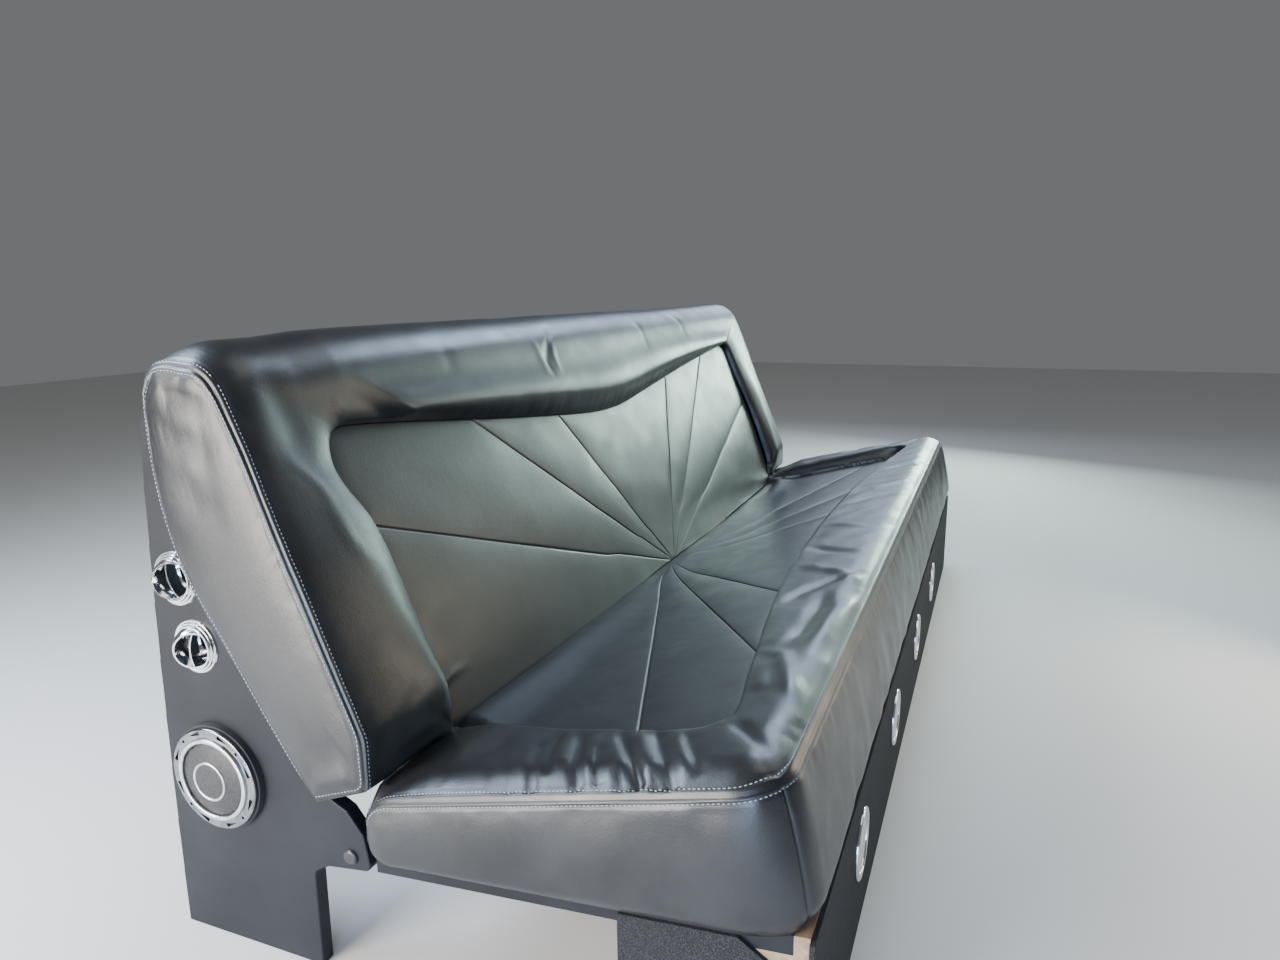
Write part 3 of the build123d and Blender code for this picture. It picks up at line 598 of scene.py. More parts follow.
at_rear = (loop_v < seat_back + 0.1) & (np.abs(loop_x) < 930)
seam_3d = on_seat(loop_x, loop_v, np.where(at_rear, crease_rise(loop_x), sewn_edge(0.0)))
foot_3d = boxing_foot(loop_x, loop_v)
drop = np.linalg.norm(foot_3d - seam_3d, axis=1)
upright_gap = np.hypot(loop_x - upright_seam[0], loop_v - upright_seam[1])
upright_place = loop_place[np.argmin(upright_gap)]
shares = [step / drop for step in fine[:7]]
shares += [shares[6] + (1 - shares[6]) * even for even in np.linspace(0, 1, 22)[1:]]
boxing = []
for share in shares:
    depth = share * drop
    push = 7.5 * np.sin(np.pi * share**0.8) ** 0.7 * ease((loop_v + 12) / 30)
    push -= 9 * ease((share - 0.86) / 0.14) ** 2
    wrinkle = 1.5 * soft_noise(loop_place / 46, share * 2.4 + loop_place / 400, 11)
    wrinkle += bell(depth - 16, 12) * soft_noise(loop_place / 15, share * 2, 12)
    push += wrinkle * ease(depth / 14) * ease((1 - share) / 0.12)
    push -= 3.2 * bell(loop_place - upright_place, 2.4) * ease(depth / 10)
    push += sewn_edge(depth) * (depth > 0)
    boxing.append(seam_3d + (foot_3d - seam_3d) * share[:, None] + outward * push[:, None])
boxing = np.array(boxing)
print("boxing height from", drop.min().round(), "to", drop.max().round())

# %% [markdown]
# A flat sole shuts the cover against the seat board. The whole cover stands in
# for the plain cushion of the hard model, which is hidden.

# %% Sole and seat cover
to_middle = (boxing[-1].mean(0) - boxing[-1]) * (1, 1, 0)
sole = np.array([boxing[-1] + to_middle * s for s in (0, 0.02, 0.3, 0.7, 0.98)])
sole[1:, :, 2] = board_z(sole[1:, :, 1])
seat_grids = [(seat_border_3d, False), (seat_panel_3d, False), (boxing, True), (sole, True)]
seat_cover = skin("seat_cover", *seat_grids)
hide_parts("seat_cushion")
print("points in the sole:", len(sole) * len(sole[0]))

# %% [markdown]
# The back cushion is one long hide that starts under the front edge, runs up
# the reclined face, rolls over the top and ends low on the rear. Its side view
# is therefore one closed line. Walking along that line gives the second
# pattern direction, and the first one again runs along the bench.

# %% Side view of the back cushion


def smooth_closed(line, step, width):
    """Rounds the corners of a closed line by averaging along it."""
    line = np.vstack([line, line[:1]])
    even = at(line, np.arange(0, lengths(line)[-1], step))
    reach = int(3 * width / step)
    weights = bell(np.arange(-reach, reach + 1) * step, width * np.sqrt(2))
    padded = np.vstack([even[-reach:], even, even[:reach]])
    return np.column_stack([np.convolve(c, weights / weights.sum(), "valid") for c in padded.T])


face_bow = smooth_line([(98, 384), (144, 493), (187, 603), (227.5, 714), (265, 826)])
crest = arc((336.3, 803.1), 74.9, 162.2, -3.1, 60)
bend = arc((-9, 743.7), 420, 0, -33, 60)
raw_side = np.vstack([[(186, 273), (97, 309)], face_bow, crest, bend])
side_line = smooth_closed(raw_side, 2.0, 8.0)
low_front = np.argmin(np.hypot(side_line[:, 0] - 98, side_line[:, 1] - 314))
side_line = np.roll(side_line, -low_front, axis=0)
side_line = np.vstack([side_line, side_line[:1]])
side_run = lengths(side_line)
around = side_run[-1]
foot_place = mark(side_line, 186, 275)
print("once round the back's side view:", around.round(), "mm, foot at", foot_place.round())


def on_back(x, v, height):
    """Places pattern points on the back, lifted square to its side view."""
    (y, z), (ahead_y, ahead_z), (behind_y, behind_z) = (
        [np.interp(np.mod(v + step, around), side_run, column) for column in side_line.T]
        for step in (0, 3, -3)
    )
    dy, dz = ahead_y - behind_y, ahead_z - behind_z
    size = np.hypot(dy, dz)
    return np.stack([x + 0 * y, y - height * dz / size, z + height * dy / size], -1)


# %% [markdown]
# Unlike the bowed outer face, the middle panel is stretched nearly flat behind
# it. Its depth under the face is therefore measured, place by place, from the
# bowed line to one straight line. The same sum turns a height above the floor,
# which can be read off the real seat, into a place on the pattern.

# %% Depth of the middle panel
panel_lean = 0.385  # how far the flat middle panel leans back for each unit of height
table_v = np.arange(10.0, 600.0, 4.0)
face_point, raised_point = on_back(0, table_v, 0), on_back(0, table_v, 1)
out_way = raised_point - face_point
flat_gap = 100 + panel_lean * (face_point[:, 2] - 300) - face_point[:, 1]
table_depth = np.maximum(flat_gap / (panel_lean * out_way[:, 2] - out_way[:, 1]), 5)
table_z = face_point[:, 2] - table_depth * out_way[:, 2]


def panel_depth(v):
    """How far the flat middle panel lies under the bowed face."""
    return np.interp(v, table_v, table_depth)


def panel_places(points):
    """Pattern places of points given by x and by height above the floor."""
    return [(x, np.interp(z, table_z, table_v)) for x, z in points]


def on_panel(x, v, height):
    """Places pattern points on the flat middle panel, which runs straight into the crease."""
    stretch = np.hypot(1, panel_lean)
    straight_z = np.interp(70, table_v, table_z) - (70 - v) / stretch
    z = np.where(v > 70, np.interp(v, table_v, table_z), straight_z)
    y = 100 + panel_lean * (np.maximum(z, crease_z(x)) - 300)
    return np.stack([x + 0 * z, y - height / stretch, z + height * panel_lean / stretch], -1)


print("middle panel depth at four places:", panel_depth([10, 150, 300, 450]).round(1))

# %% [markdown]
# The back's pattern is drawn like the seat's. The seam of its middle panel
# runs up the near side, dips along the top to mid-length, and comes down the
# far side. Its marks are given by height above the floor. Extra columns stand
# close to both upper corners, where the hide turns from the sides to the top.

# %% Back pattern
back_half = 1136.0
back_top = 560.0  # the border pattern ends here, just under the crest
back_centre = np.array([0.0, -27.0])
near_edge = [(-938, 355), (-936, 415), (-940, 476), (-943, 536), (-947, 580), (-957, 622)]
near_edge += [(-975, 658), (-984, 690), (-979, 717), (-966, 735), (-942, 744)]
top_edge = [(-908, 744), (-813, 735), (-592, 709), (-343, 682), (-150, 664), (-30, 660), (61, 665)]
top_edge += [(257, 685), (538, 713), (820, 736), (900, 743)]
far_edge = [(940, 743), (962, 722), (968, 633), (984, 520), (986, 440), (976, 355)]
drawn_edge = panel_places(near_edge + top_edge + far_edge)
back_inner = smooth_line([(-944, -14), (-942, 20)] + drawn_edge + [(966, 20), (962, -23)])
end_rise = back_top + 4  # length of an end seam in this pattern
back_outer = np.array([(-1, -4), (-1, back_top), (1, back_top), (1, -4)]) * (back_half, 1)
outer_total, inner_total = lengths(back_outer)[-1], lengths(back_inner)[-1]
corners = [(-984, 690), (-958, 740), (-890, 744), (890, 742), (952, 736), (968, 633)]
back_inner_marks = [0, *(mark(back_inner, *p) for p in panel_places(corners)), inner_total]
kinks = np.array([end_rise, end_rise + 2 * back_half])
back_outer_marks = [0, 440, end_rise, 630]
back_outer_marks += [outer_total - m for m in (630, end_rise, 400, 0)]
back_rays = [(-950, 606), (-606, 711), (-298, 678), (354, 694), (695, 726), (978, 560)]
back_rays = panel_places(back_rays)
back_columns = columns_along(back_inner, 5.8, [mark(back_inner, *end) for end in back_rays])
close_to_end = np.array(fine[1:-1])
extra = np.concatenate([kinks, kinks[0] + close_to_end, kinks[1] - close_to_end])
extra_in = np.interp(extra, back_outer_marks, back_inner_marks)
back_columns = np.unique(np.concatenate([back_columns, extra_in]))
back_in = at(back_inner, back_columns)
back_out_place = np.interp(back_columns, back_inner_marks, back_outer_marks)
back_out = at(back_outer, back_out_place)
print("back pattern columns:", len(back_columns))

# %% [markdown]
# The back has fewer folds than the seat, because its hide is stretched harder.
# The near border carries a kinked soft fold, and the long roll on top a few
# creases. The hide also drops away towards both end seams, most of all at the
# crest. One more line gives that drop, once round the side view.

# %% Folds of the back
border_folds = [
    (1.6, 9, -1090, 446, -1059, 413, -1043, 388, -1030, 352),
    (1.4, 10, -1043, 388, -1036, 344, -1030, 304, -1004, 254),
    (2.0, 6, -957, 506, -948, 488, -950, 470),
    (-1.6, 14, -1105, 40, -1050, 74, -1000, 92),
    (1.4, 9, -1100, 20, -1040, 34, -980, 30),
]
crest_folds = [
    (-3.0, 26, -1082, 575, -1062, 515, -1050, 471, -1046, 420),
    (-2.6, 9, -257, 590, -305, 540, -332, 505, -322, 462),
    (2.0, 8, -284, 560, -298, 520, -296, 468),
    (1.4, 11, -370, 560, -355, 520, -346, 470),
    (-1.5, 14, 180, 590, 215, 545, 210, 480),
    (-1.6, 15, 490, 600, 530, 550, 520, 490),
    (-1.2, 20, -630, 600, -670, 560, -660, 500),
]
panel_folds = [(2.6, 6, -945, 78, -925, 58, -900, 62, -868, 56)]
drop_line = [(0, 0), (150, -1), (260, 0), (310, 2), (380, 4), (450, 6), (510, 13), (560, 21)]
drop_line += [(600, 27), (637, 30), (670, 22), (700, 9), (730, 3), (780, 2), (around, 2)]
drop_line = smooth_line(drop_line)
print("folds drawn on the back:", len(border_folds + crest_folds + panel_folds))

# %% [markdown]
# The back's border is drawn in hard at its middle panel. At the ends the step
# is a narrow bevel with a long slope behind it. Along the top the roll stands
# out further, and under it a gathered strip slopes down to the seam, widest at
# mid-length.

# %% Heights of the back's border


def side_round(x, v):
    """The rounding of the hide towards the two end seams, deepest at the crest."""
    gap = back_half - np.abs(x)
    face = ease((v + 10) / 60) * ease((600 - v) / 80)
    edge_drop = np.interp(np.mod(v, around), *drop_line.T)
    rise = 3.5 * face * pad_edge(gap, 34) - edge_drop * (1 - pad_edge(gap, 64, 2.5))
    swell = 9 * np.sin(np.pi * np.clip(gap / 200, 0, 1))
    rise += swell * ease((v + 10) / 80) * ease((430 - v) / 160)
    return rise + sewn_edge(gap), gap


def crest_puff(x, v):
    """Padding on the top roll, fuller at the near end than further on."""
    places = [-1130, -1014, -940, -660, -400, -40, 430, 1130]
    height = np.interp(x, places, [0, 0, 6, 6, 3, 2, -3, -3])
    return height * ease((v - 470) / 90) * ease((700 - v) / 90)


def hide_noise(x, v):
    """The soft unevenness of the hide over its foam."""
    return 0.7 * soft_noise(x / 120, v / 90, 21) + 0.12 * soft_noise(x / 34, v / 40, 22)


def roll_share(seam):
    """1 where the seam lies under the top roll, 0 along the sides and the near corner."""
    x, v = seam.T
    return ease(np.where(x < 0, 852 + x, 935 - x) / 110) * ease((v - 330) / 40)


def band_width(x):
    """Width of the gathered strip under the top roll."""
    return 10 + 37 * np.maximum(0, 1 - (x / 930) ** 2) ** 0.7


ridge_gap = ([0, 80, 150, 254, 304, 388, 446, 520], [18, 30, 54, 80, 94, 96, 130, 165])


def back_border_height(x, v, gap_in, inner):
    """Height of the back's border over its side view."""
    rounding, gap_side = side_round(x, v)
    top = roll_share(inner)
    width = 10 * (1 - top) + top * band_width(inner[:, 0])
    q = np.clip(gap_in / width, 0, 1)
    roll = np.where(top > 0.5, 1 - (1 - q) ** 1.7, np.sqrt(1 - (1 - q) ** 2))
    deep = panel_depth(inner[:, 1])
    step = np.minimum(deep, 11 + 30 * top)
    slope = np.clip(1 - gap_in / np.interp(v, *ridge_gap), 0, 1) ** 1.6
    crown = (3 + 4 * top) * bell(gap_in - 20 - width, 42) * ease(gap_side / 60)
    height = rounding + (crown + crest_puff(x, v)) * roll - (deep - step) * slope
    height -= step * (1 - roll) + 2.2 * (1 - top) * bell(gap_in, 2.2)
    height += ease(gap_side / 12) * folds(x, v, border_folds + crest_folds)
    height += ease(gap_side / 18) * ease(gap_in / 20) * hide_noise(x, v)
    height += 0.6 * bell(gap_side - 13, 9) * soft_noise(v / 11, gap_side / 50, 23)
    pleats = top * (1 - q) * np.sqrt(q) * 2.2
    return height + pleats * (soft_noise(x / 7.5, v / 90, 24) + soft_noise(x / 19, v / 60, 25))


print("gathered strip at mid-length, in mm:", band_width(0.0))

# %% [markdown]
# Both parts of the back's face can now be placed: the border on the bowed side
# view, the middle panel on its flat plane. Along the seam between them the
# border is led onto the panel, so that no gap opens.

# %% Back border and middle panel


def sewn_x(x):
    """Draws the points on an end seam in by 2 mm, into the seam's groove."""
    return x - np.sign(x) * np.where(np.abs(x) > back_half - 0.2, 2.0, 0)


border_x, border_v, back_gap = border_rows(back_out, back_in, 10)
back_rise = back_border_height(border_x, border_v, back_gap, back_in)
back_border_3d = on_back(sewn_x(border_x), border_v, back_rise)
to_panel = on_panel(*back_in.T, 0) - on_back(*back_in.T, -panel_depth(back_in[:, 1]))
back_border_3d += to_panel * (1 - ease(back_gap / 45))[..., None]

panel_x, panel_v, panel_gap, panel_rise = sewn_panel(back_in, back_inner, back_centre, back_rays)
panel_rise += 0.9 * ease(panel_gap / 30) * soft_noise(panel_x / 100, panel_v / 70, 27)
panel_rise += folds(panel_x, panel_v, panel_folds)
panel_rise[0] = -2.2 * (1 - roll_share(back_in))
back_panel_3d = on_panel(panel_x, panel_v, panel_rise)
print("back border height from", back_rise.min().round(1), "to", back_rise.max().round(1))

# %% [markdown]
# Past the crest the hide needs no pattern: it is a plain grid that goes on
# from the border's top row, over the roll, down the rear and back under the
# front edge. It takes over the padding and the creases of the border, so
# nothing shows where the two meet.

# %% Over the crest, down the rear and under the front edge
top_row = (back_out_place >= kinks[0] - 0.01) & (back_out_place <= kinks[1] + 0.01)
rear_v = np.concatenate([np.linspace(back_top, 700, 26), np.linspace(716, foot_place, 30)])
grid_x, grid_v = np.meshgrid(back_out[top_row, 0], rear_v)
rear_rise, rear_gap = side_round(grid_x, grid_v)
rear_rise += crest_puff(grid_x, grid_v)
rear_rise += ease((700 - grid_v) / 60) * ease(rear_gap / 20) * hide_noise(grid_x, grid_v)
rear_rise += ease(rear_gap / 12) * folds(grid_x, grid_v, crest_folds)
rear_rise[0] = back_rise[0, top_row]
rear_3d = on_back(sewn_x(grid_x), grid_v, rear_rise)

bottom_edge = [back_border_3d[:, 0], back_panel_3d[1:, 0]]
bottom_edge += [back_panel_3d[:0:-1, -1], back_border_3d[::-1, -1]]
bottom_edge = np.vstack(bottom_edge)
foot_row = rear_3d[-1]
nose_row = foot_row.copy()
for k in (1, 2):
    nose_row[:, k] = np.interp(foot_row[:, 0], bottom_edge[:, 0], bottom_edge[:, k])
under_3d = foot_row + (nose_row - foot_row) * np.linspace(0, 1, 14)[:, None, None]
print("rows over the crest:", len(rear_v), "under the front edge:", len(under_3d))

# %% [markdown]
# The two ends are closed by flat facings, double-stitched to the hide all the
# way round. The near one faces the camera and catches most of the light, so
# it gets the curved folds where the hide is pulled over the top corner.

# %% End facings of the back
on_side = back_out_place <= kinks[0] + 0.01
on_far_side = back_out_place >= kinks[1] - 0.01
near_seam = [under_3d[:-1, 0], back_border_3d[0, on_side], rear_3d[1:-1, 0]]
far_seam = [under_3d[:-1, -1], back_border_3d[0, on_far_side][::-1], rear_3d[1:-1, -1]]
facing_folds = [
    (-4.0, 11, 372, 812, 340, 808, 308, 797, 285, 790),
    (2.6, 12, 372, 792, 335, 783, 300, 772),
    (-4.0, 11, 380, 770, 345, 756, 312, 749, 272, 748),
    (2.2, 15, 385, 740, 350, 730, 300, 722),
    (-1.8, 14, 350, 690, 310, 672, 270, 668),
    (-2.6, 15, 128, 372, 160, 352, 196, 352),
    (2.6, 10, 120, 330, 150, 318, 190, 300),
]


def facing(seam, sign, drawn):
    """Grid of an end facing, from its seam in to its middle."""
    outline = np.vstack(seam)[:, 1:]
    to_core = np.array([262.0, 545.0]) - outline
    reach = np.hypot(*to_core.T)
    shares = [np.minimum(step / reach, 0.985) for step in fine]
    for k, even in enumerate(np.linspace(0.2, 0.97, 12)[:-1]):
        shares.append(np.clip(even, max(44, fine[-1] + 3 * (k + 1)) / reach, 0.985))
    shares.append(np.ones(len(reach)))
    y, z = np.moveaxis(np.array([outline + to_core * s[:, None] for s in shares]), -1, 0)
    gap, _ = to_line(y, z, np.vstack([outline, outline[:1]])[::3])
    gap[0] = 0
    push = 8.0 * (1 - np.exp(-gap / 18)) + sewn_edge(gap)
    push += 0.7 * ease(gap / 25) * soft_noise(y / 110, z / 110, 31)
    push += 0.6 * bell(gap - 13, 9) * soft_noise((y + z) / 12, gap / 40, 32)
    push += ease(gap / 12) * folds(y, z, drawn, (0.1, 0.35))
    push[0] = -2.0
    return np.stack([sign * (back_half + push), y, z], -1)


near_facing = facing(near_seam, -1, facing_folds)
far_facing = facing(far_seam, 1, facing_folds[2:5])
open_grids = [(grid, False) for grid in (back_border_3d, back_panel_3d, rear_3d, under_3d)]
back_cover = skin("back_cover", *open_grids, (near_facing, True), (far_facing, True))
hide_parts("back_cushion")
print("points along a facing's seam:", near_facing.shape[1])

# %% [markdown]
# Thread is what makes a seam read as a seam. Each stitch is a short rounded
# bar that dips into the leather at both ends. Hundreds of them go into one
# mesh, laid at an even pitch along a row of points of the cover itself, so
# they follow every fold.

# %% How a stitch is laid
stitch_pitch, stitch_length, thread_radius, thread_lift = 5.8, 3.9, 0.7, 0.2


def unit(ways):
    """Directions brought to length 1."""
    return ways / np.linalg.norm(ways, axis=1)[:, None]


def stitch_row(path, outwards):
    """Points of the stitches along a line, 24 for each stitch."""
    places = np.arange(stitch_pitch, lengths(path)[-1] - stitch_pitch, stitch_pitch)
    ends = [at(path, places + stitch_length * half) for half in (-0.5, 0.5)]
    way = unit(ends[1] - ends[0])
    side = unit(np.cross(way, at(outwards, places, path)))
    out = np.cross(side, way)
    ring = []
    for share, size, sink in ((-0.5, 0.35, -0.5), (-0.28, 1, 0), (0.28, 1, 0), (0.5, 0.35, -0.5)):
        for turn in np.radians([0, 60, 120, 180, 240, 300]):
            offset = thread_radius * size * (side * np.cos(turn) + out * np.sin(turn))
            here = at(path, places) + way * stitch_length * share
            ring.append(here + offset + out * (thread_lift + sink))
    return np.stack(ring, 1)


def stitches(name, rows):
    """One object with the stitches of several rows."""
    bars = np.vstack([stitch_row(path, out) for path, out in rows])
    faces = [f for bar in range(len(bars)) for f in strip_faces(4, 6, bar * 24, True)]
    piece = new_piece(name, bars.reshape(-1, 3), faces)
    piece.data.shade_smooth()
    return piece


def leather_out(grid, rough_way):
    """Directions out of the leather along its row of stitches, on the side of a rough way."""
    row = grid[stitch_line]
    across = grid[stitch_line + 1] - grid[stitch_line - 1]
    out = unit(np.cross(np.gradient(row, axis=0), across))
    return np.where(np.sum(out * rough_way, axis=1)[:, None] < 0, -out, out)


print("stitches in 100 mm:", round(100 / stitch_pitch, 1))

# %% [markdown]
# The seat has two rows of stitches, one on each side of its boxing seam. The
# back has three at each end: up the border, all round the facing, and over the
# crest.

# %% Rows of stitches
seat_middle, used = (0, -170, 300), slice(0, len(seat_out))
seat_rows = []
for grid in (seat_border_3d, boxing):
    row = grid[stitch_line]
    seat_rows.append((row[used], leather_out(grid, row - seat_middle)[used]))
seat_stitches = stitches("seat_stitches", seat_rows)
back_rows = []
forward = leather_out(back_border_3d, (0, -1, 0))
side_count = on_side.sum()
for sign, columns, facing_grid, edge in (
    (-1, slice(0, side_count), near_facing, 4),
    (1, slice(len(back_out) - side_count, None), far_facing, -5),
):
    back_rows.append((back_border_3d[stitch_line][columns], forward[columns]))
    row = facing_grid[stitch_line]
    back_rows.append((row, np.zeros_like(row) + (sign, 0, 0)))
    over = rear_3d[:30, edge]
    over_out = over - (0, 340, 760)
    over_out[:, 0] = sign * 4
    back_rows.append((over, unit(over_out)))
back_stitches = stitches("back_stitches", back_rows)

# %% [markdown]
# The speaker's grille is a domed sheet of fine wire mesh. At the size of a
# fist the holes of the mesh can be counted, so they are real holes: every cell
# of the sheet is a small square frame, laid on the bias like the real wire.

# %% Speaker grille
speaker_place = (376.0, 266.0)
dome_radius, dome_rise = 54.4, 8.5
cell_pitch, hole_share = 2.3, 0.56


def dome_x(y, z):
    """Front of the grille's dome at a place measured from the speaker's middle."""
    return -1127.4 - dome_rise * (1 - (y**2 + z**2) / dome_radius**2)


square = np.array([(-1, -1), (1, -1), (1, 1), (-1, 1)]) * cell_pitch / 2
bias = np.array([(1, -1), (1, 1)]) / np.sqrt(2)
mesh_points, mesh_faces = [], []
for cell in np.ndindex(49, 49):
    middle = (np.array(cell) - 24) * cell_pitch
    if np.hypot(*middle) > dome_radius - 1.4:
        continue
    corners_of_cell = np.vstack([middle + square, middle + square * hole_share]) @ bias
    mesh_faces += strip_faces(2, 4, len(mesh_points), True)
    for y, z in corners_of_cell:
        mesh_points.append((dome_x(y, z), speaker_place[0] + y, speaker_place[1] + z))
grille = new_piece("speaker_mesh", mesh_points, mesh_faces, weld=0.02)
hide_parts("speaker_grille")

# %% [markdown]
# The silver ring that is pressed into the mesh is a turned piece: a profile
# spun about a line along the bench. Behind each eyeball vent a dark disc,
# turned in the same way, paints the shade deep inside the vent's bore.

# %% Speaker ring and painted shade in the vents


def turned(name, profile, middle, steps):
    """A turned piece: a profile of (x, radius) points spun about a line along the bench."""
    points = [
        (x, middle[0] + r * np.cos(t), middle[1] + r * np.sin(t))
        for x, r in profile
        for t in np.linspace(0, 2 * np.pi, steps, endpoint=False)
    ]
    return new_piece(name, points, strip_faces(len(profile), steps, 0, True), weld=0.02)


ring_radius = 27.5
ring_x = dome_x(ring_radius, 0) - 0.3
section = np.linspace(0, 2 * np.pi, 13)
ring_profile = [(ring_x + 1.2 * np.cos(a), ring_radius + 2.0 * np.sin(a)) for a in section]
inner_ring = turned("speaker_inner_ring", ring_profile, speaker_place, 64)
inner_ring.data.shade_smooth()
# Dark discs deep in the eyeball vents: painted shade inside each bore.
vent_shade_profile = [(-1072, 21.0), (-1066, 20.0), (-1065, 0.02)]
vent_shade_discs = [
    turned("hose_end_upper", vent_shade_profile, (417, 554), 40),
    turned("hose_end_lower", vent_shade_profile, (394, 458), 40),
]

# %% [markdown]
# Finishes come last. Every material is built from nodes that read the place on
# the object, so nothing is painted and nothing slides when the view changes.
# The helper below adds one node at a time; a bump node turns the values of a
# texture into small relief.

# %% Tools for finishes


class Finish:
    """A material under construction, with short ways to add its usual nodes."""

    def __init__(self, name, base, roughness, metallic=0.0):
        self.material = shade(name, base, roughness, metallic)
        self.tree = self.material.node_tree
        self.shader = self.tree.nodes["Principled BSDF"]
        self.place = self.node("TexCoord").outputs["Object"]
        self.relief = None

    def node(self, kind, **inputs):
        """A new node, with its inputs set to values or linked to other nodes."""
        node = self.tree.nodes.new("ShaderNode" + kind)
        for name, value in inputs.items():
            socket = node.inputs[name.replace("_", " ")]
            if isinstance(value, bpy.types.NodeSocket):
                self.tree.links.new(value, socket)
            else:
                socket.default_value = value
        return node

    def stretch(self, scale, turn=(0, 0, 0)):
        """The place on the object, turned and stretched along its three directions."""
        lay = self.node("Mapping", Vector=self.place, Scale=scale, Rotation=turn)
        return lay.outputs["Vector"]

    def noise(self, scale, detail=3.0, rough=0.5, warp=0.0, place=None):
        """Cloudy values about 0.5, as fine as the scale."""
        steps = {"Scale": scale, "Detail": detail, "Roughness": rough, "Distortion": warp}
        return self.node("TexNoise", Vector=place or self.place, **steps).outputs["Fac"]

    def cells(self, scale):
        """Distance to the middle of small cells, like the pores of a hide."""
        return self.node("TexVoronoi", Vector=self.place, Scale=scale).outputs["Distance"]

    def ramp(self, value, low, dark, high, light):
        """Turns a value into a colour between two tones."""
        node = self.node("ValToRGB", Fac=value)
        for element, place, tone in zip(node.color_ramp.elements, (low, high), (dark, light)):
            element.position, element.color = place, (*tone, 1)
        return node

    def colour(self, value, dark, light, low=0.3, high=0.7):
        """Lets the colour wander between two tones."""
        ramp = self.ramp(value, low, dark, high, light)
        self.tree.links.new(ramp.outputs["Color"], self.shader.inputs["Base Color"])
        return ramp

    def gloss(self, value, smooth, rough):
        """Lets roughness wander between two values."""
        span = {"From_Min": 0.3, "From_Max": 0.7, "To_Min": smooth, "To_Max": rough}
        result = self.node("MapRange", Value=value, **span).outputs["Result"]
        self.tree.links.new(result, self.shader.inputs["Roughness"])

    def bump(self, value, strength, depth):
        """Adds relief of the given depth in metres, on top of earlier relief."""
        node = self.node("Bump", Strength=strength, Distance=depth, Height=value)
        if self.relief is not None:
            self.tree.links.new(self.relief, node.inputs["Normal"])
        self.relief = node.outputs["Normal"]
        self.tree.links.new(self.relief, self.shader.inputs["Normal"])

    def put_on(self, *pieces):
        """Makes this the only material of the pieces."""
        for piece in pieces:
            piece.data.materials.clear()
            piece.data.materials.append(self.material)


print("tools for a finish:", [name for name in vars(Finish) if not name.startswith("_")])

# %% [markdown]
# Black leather is never quite black: its topcoat is a little worn and greyed
# where people sit. It has three sizes of relief: pores under a millimetre, the
# crumpled grain of a few millimetres, and broad soft unevenness. The thread is
# a grey cord with a slight twist; its pale bluish tone is partly painted sheen.

# %% Leather and thread
leather = Finish("black_leather", (0.011, 0.012, 0.0125), 0.38)
worn, fresh = (0.0058, 0.0064, 0.0072), (0.0145, 0.0155, 0.0172)
leather.colour(leather.noise(7, 5, 0.6), worn, fresh, 0.35, 0.62)
leather.gloss(leather.noise(16, 6, 0.62), 0.30, 0.46)
leather.bump(leather.noise(42, 5, 0.55, 0.3), 0.12, 0.0016)
leather.bump(leather.noise(170, 6, 0.65, 0.6), 0.36, 0.0007)
leather.bump(leather.cells(620), 0.38, 0.00032)
leather.shader.inputs["Coat Weight"].default_value = 0.18
leather.shader.inputs["Coat Roughness"].default_value = 0.32
leather.put_on(seat_cover, back_cover)

# Grey thread whose pale bluish tones are partly a painted sheen.
thread = Finish("waxed_thread", (0.42, 0.45, 0.49), 0.42)
thread.colour(thread.noise(300, 2), (0.20, 0.22, 0.25), (0.34, 0.37, 0.42))
thread.bump(thread.noise(1800, 2, place=thread.stretch((1, 1, 3))), 0.4, 0.0002)
thread.put_on(seat_stitches, back_stitches)
print("leather on:", seat_cover.name, back_cover.name)

# %% [markdown]
# The vinyl on the end panels is a thin satin film over board. It shows fine
# scratches where bags and shoes pass. A scratch is a very thin streak, so it
# comes from noise that is stretched far in one direction and then cut down to
# its peaks.

# %% Vinyl on the panels and the seat board
vinyl = Finish("satin_vinyl", (0.016, 0.0165, 0.019), 0.46)
vinyl.colour(vinyl.noise(4, 6, 0.65), (0.008, 0.0088, 0.011), (0.015, 0.0165, 0.021), 0.35, 0.65)
vinyl.gloss(vinyl.noise(11, 5, 0.6), 0.38, 0.56)
vinyl.shader.inputs["Specular IOR Level"].default_value = 0.22
vinyl.bump(vinyl.noise(5, 3), 0.15, 0.003)
vinyl.bump(vinyl.noise(420, 4, 0.6), 0.16, 0.0003)
scratch_turns = ((0.5, 0.1, 0.2), (-0.7, 0.0, 0.1), (1.2, 0.2, 0.0))
for turn in scratch_turns:
    streaks = vinyl.noise(2.4, 2, 0.4, 0.4, vinyl.stretch((3, 3, 160), turn))
    peaks = vinyl.ramp(streaks, 0.70, (0, 0, 0), 0.75, (1, 1, 1)).outputs["Color"]
    vinyl.bump(peaks, -0.25, 0.0003)
print("ways that the scratches run:", len(scratch_turns))

# %% [markdown]
# Carpet pile hides its backing, so its colour is deep and uneven and its
# surface breaks up completely. Bumps at the scale of a tuft do that. The real
# pile here is black with a few lighter dusty tufts. The bare plywood behind
# has a grain, which is noise stretched along the board.

# %% Carpet, wood and paint
carpet = Finish("short_pile_carpet", (0.014, 0.0145, 0.017), 0.95)
tufts = carpet.noise(520, 4, 0.7)
pile = carpet.colour(tufts, (0.004, 0.004, 0.005), (0.06, 0.062, 0.068), 0.38, 0.74)
pile.color_ramp.elements.new(0.56).color = (0.018, 0.019, 0.022, 1)
carpet.bump(carpet.noise(60, 3), 0.6, 0.004)
carpet.bump(carpet.cells(430), 0.9, 0.0022)
carpet.bump(tufts, 0.8, 0.0012)

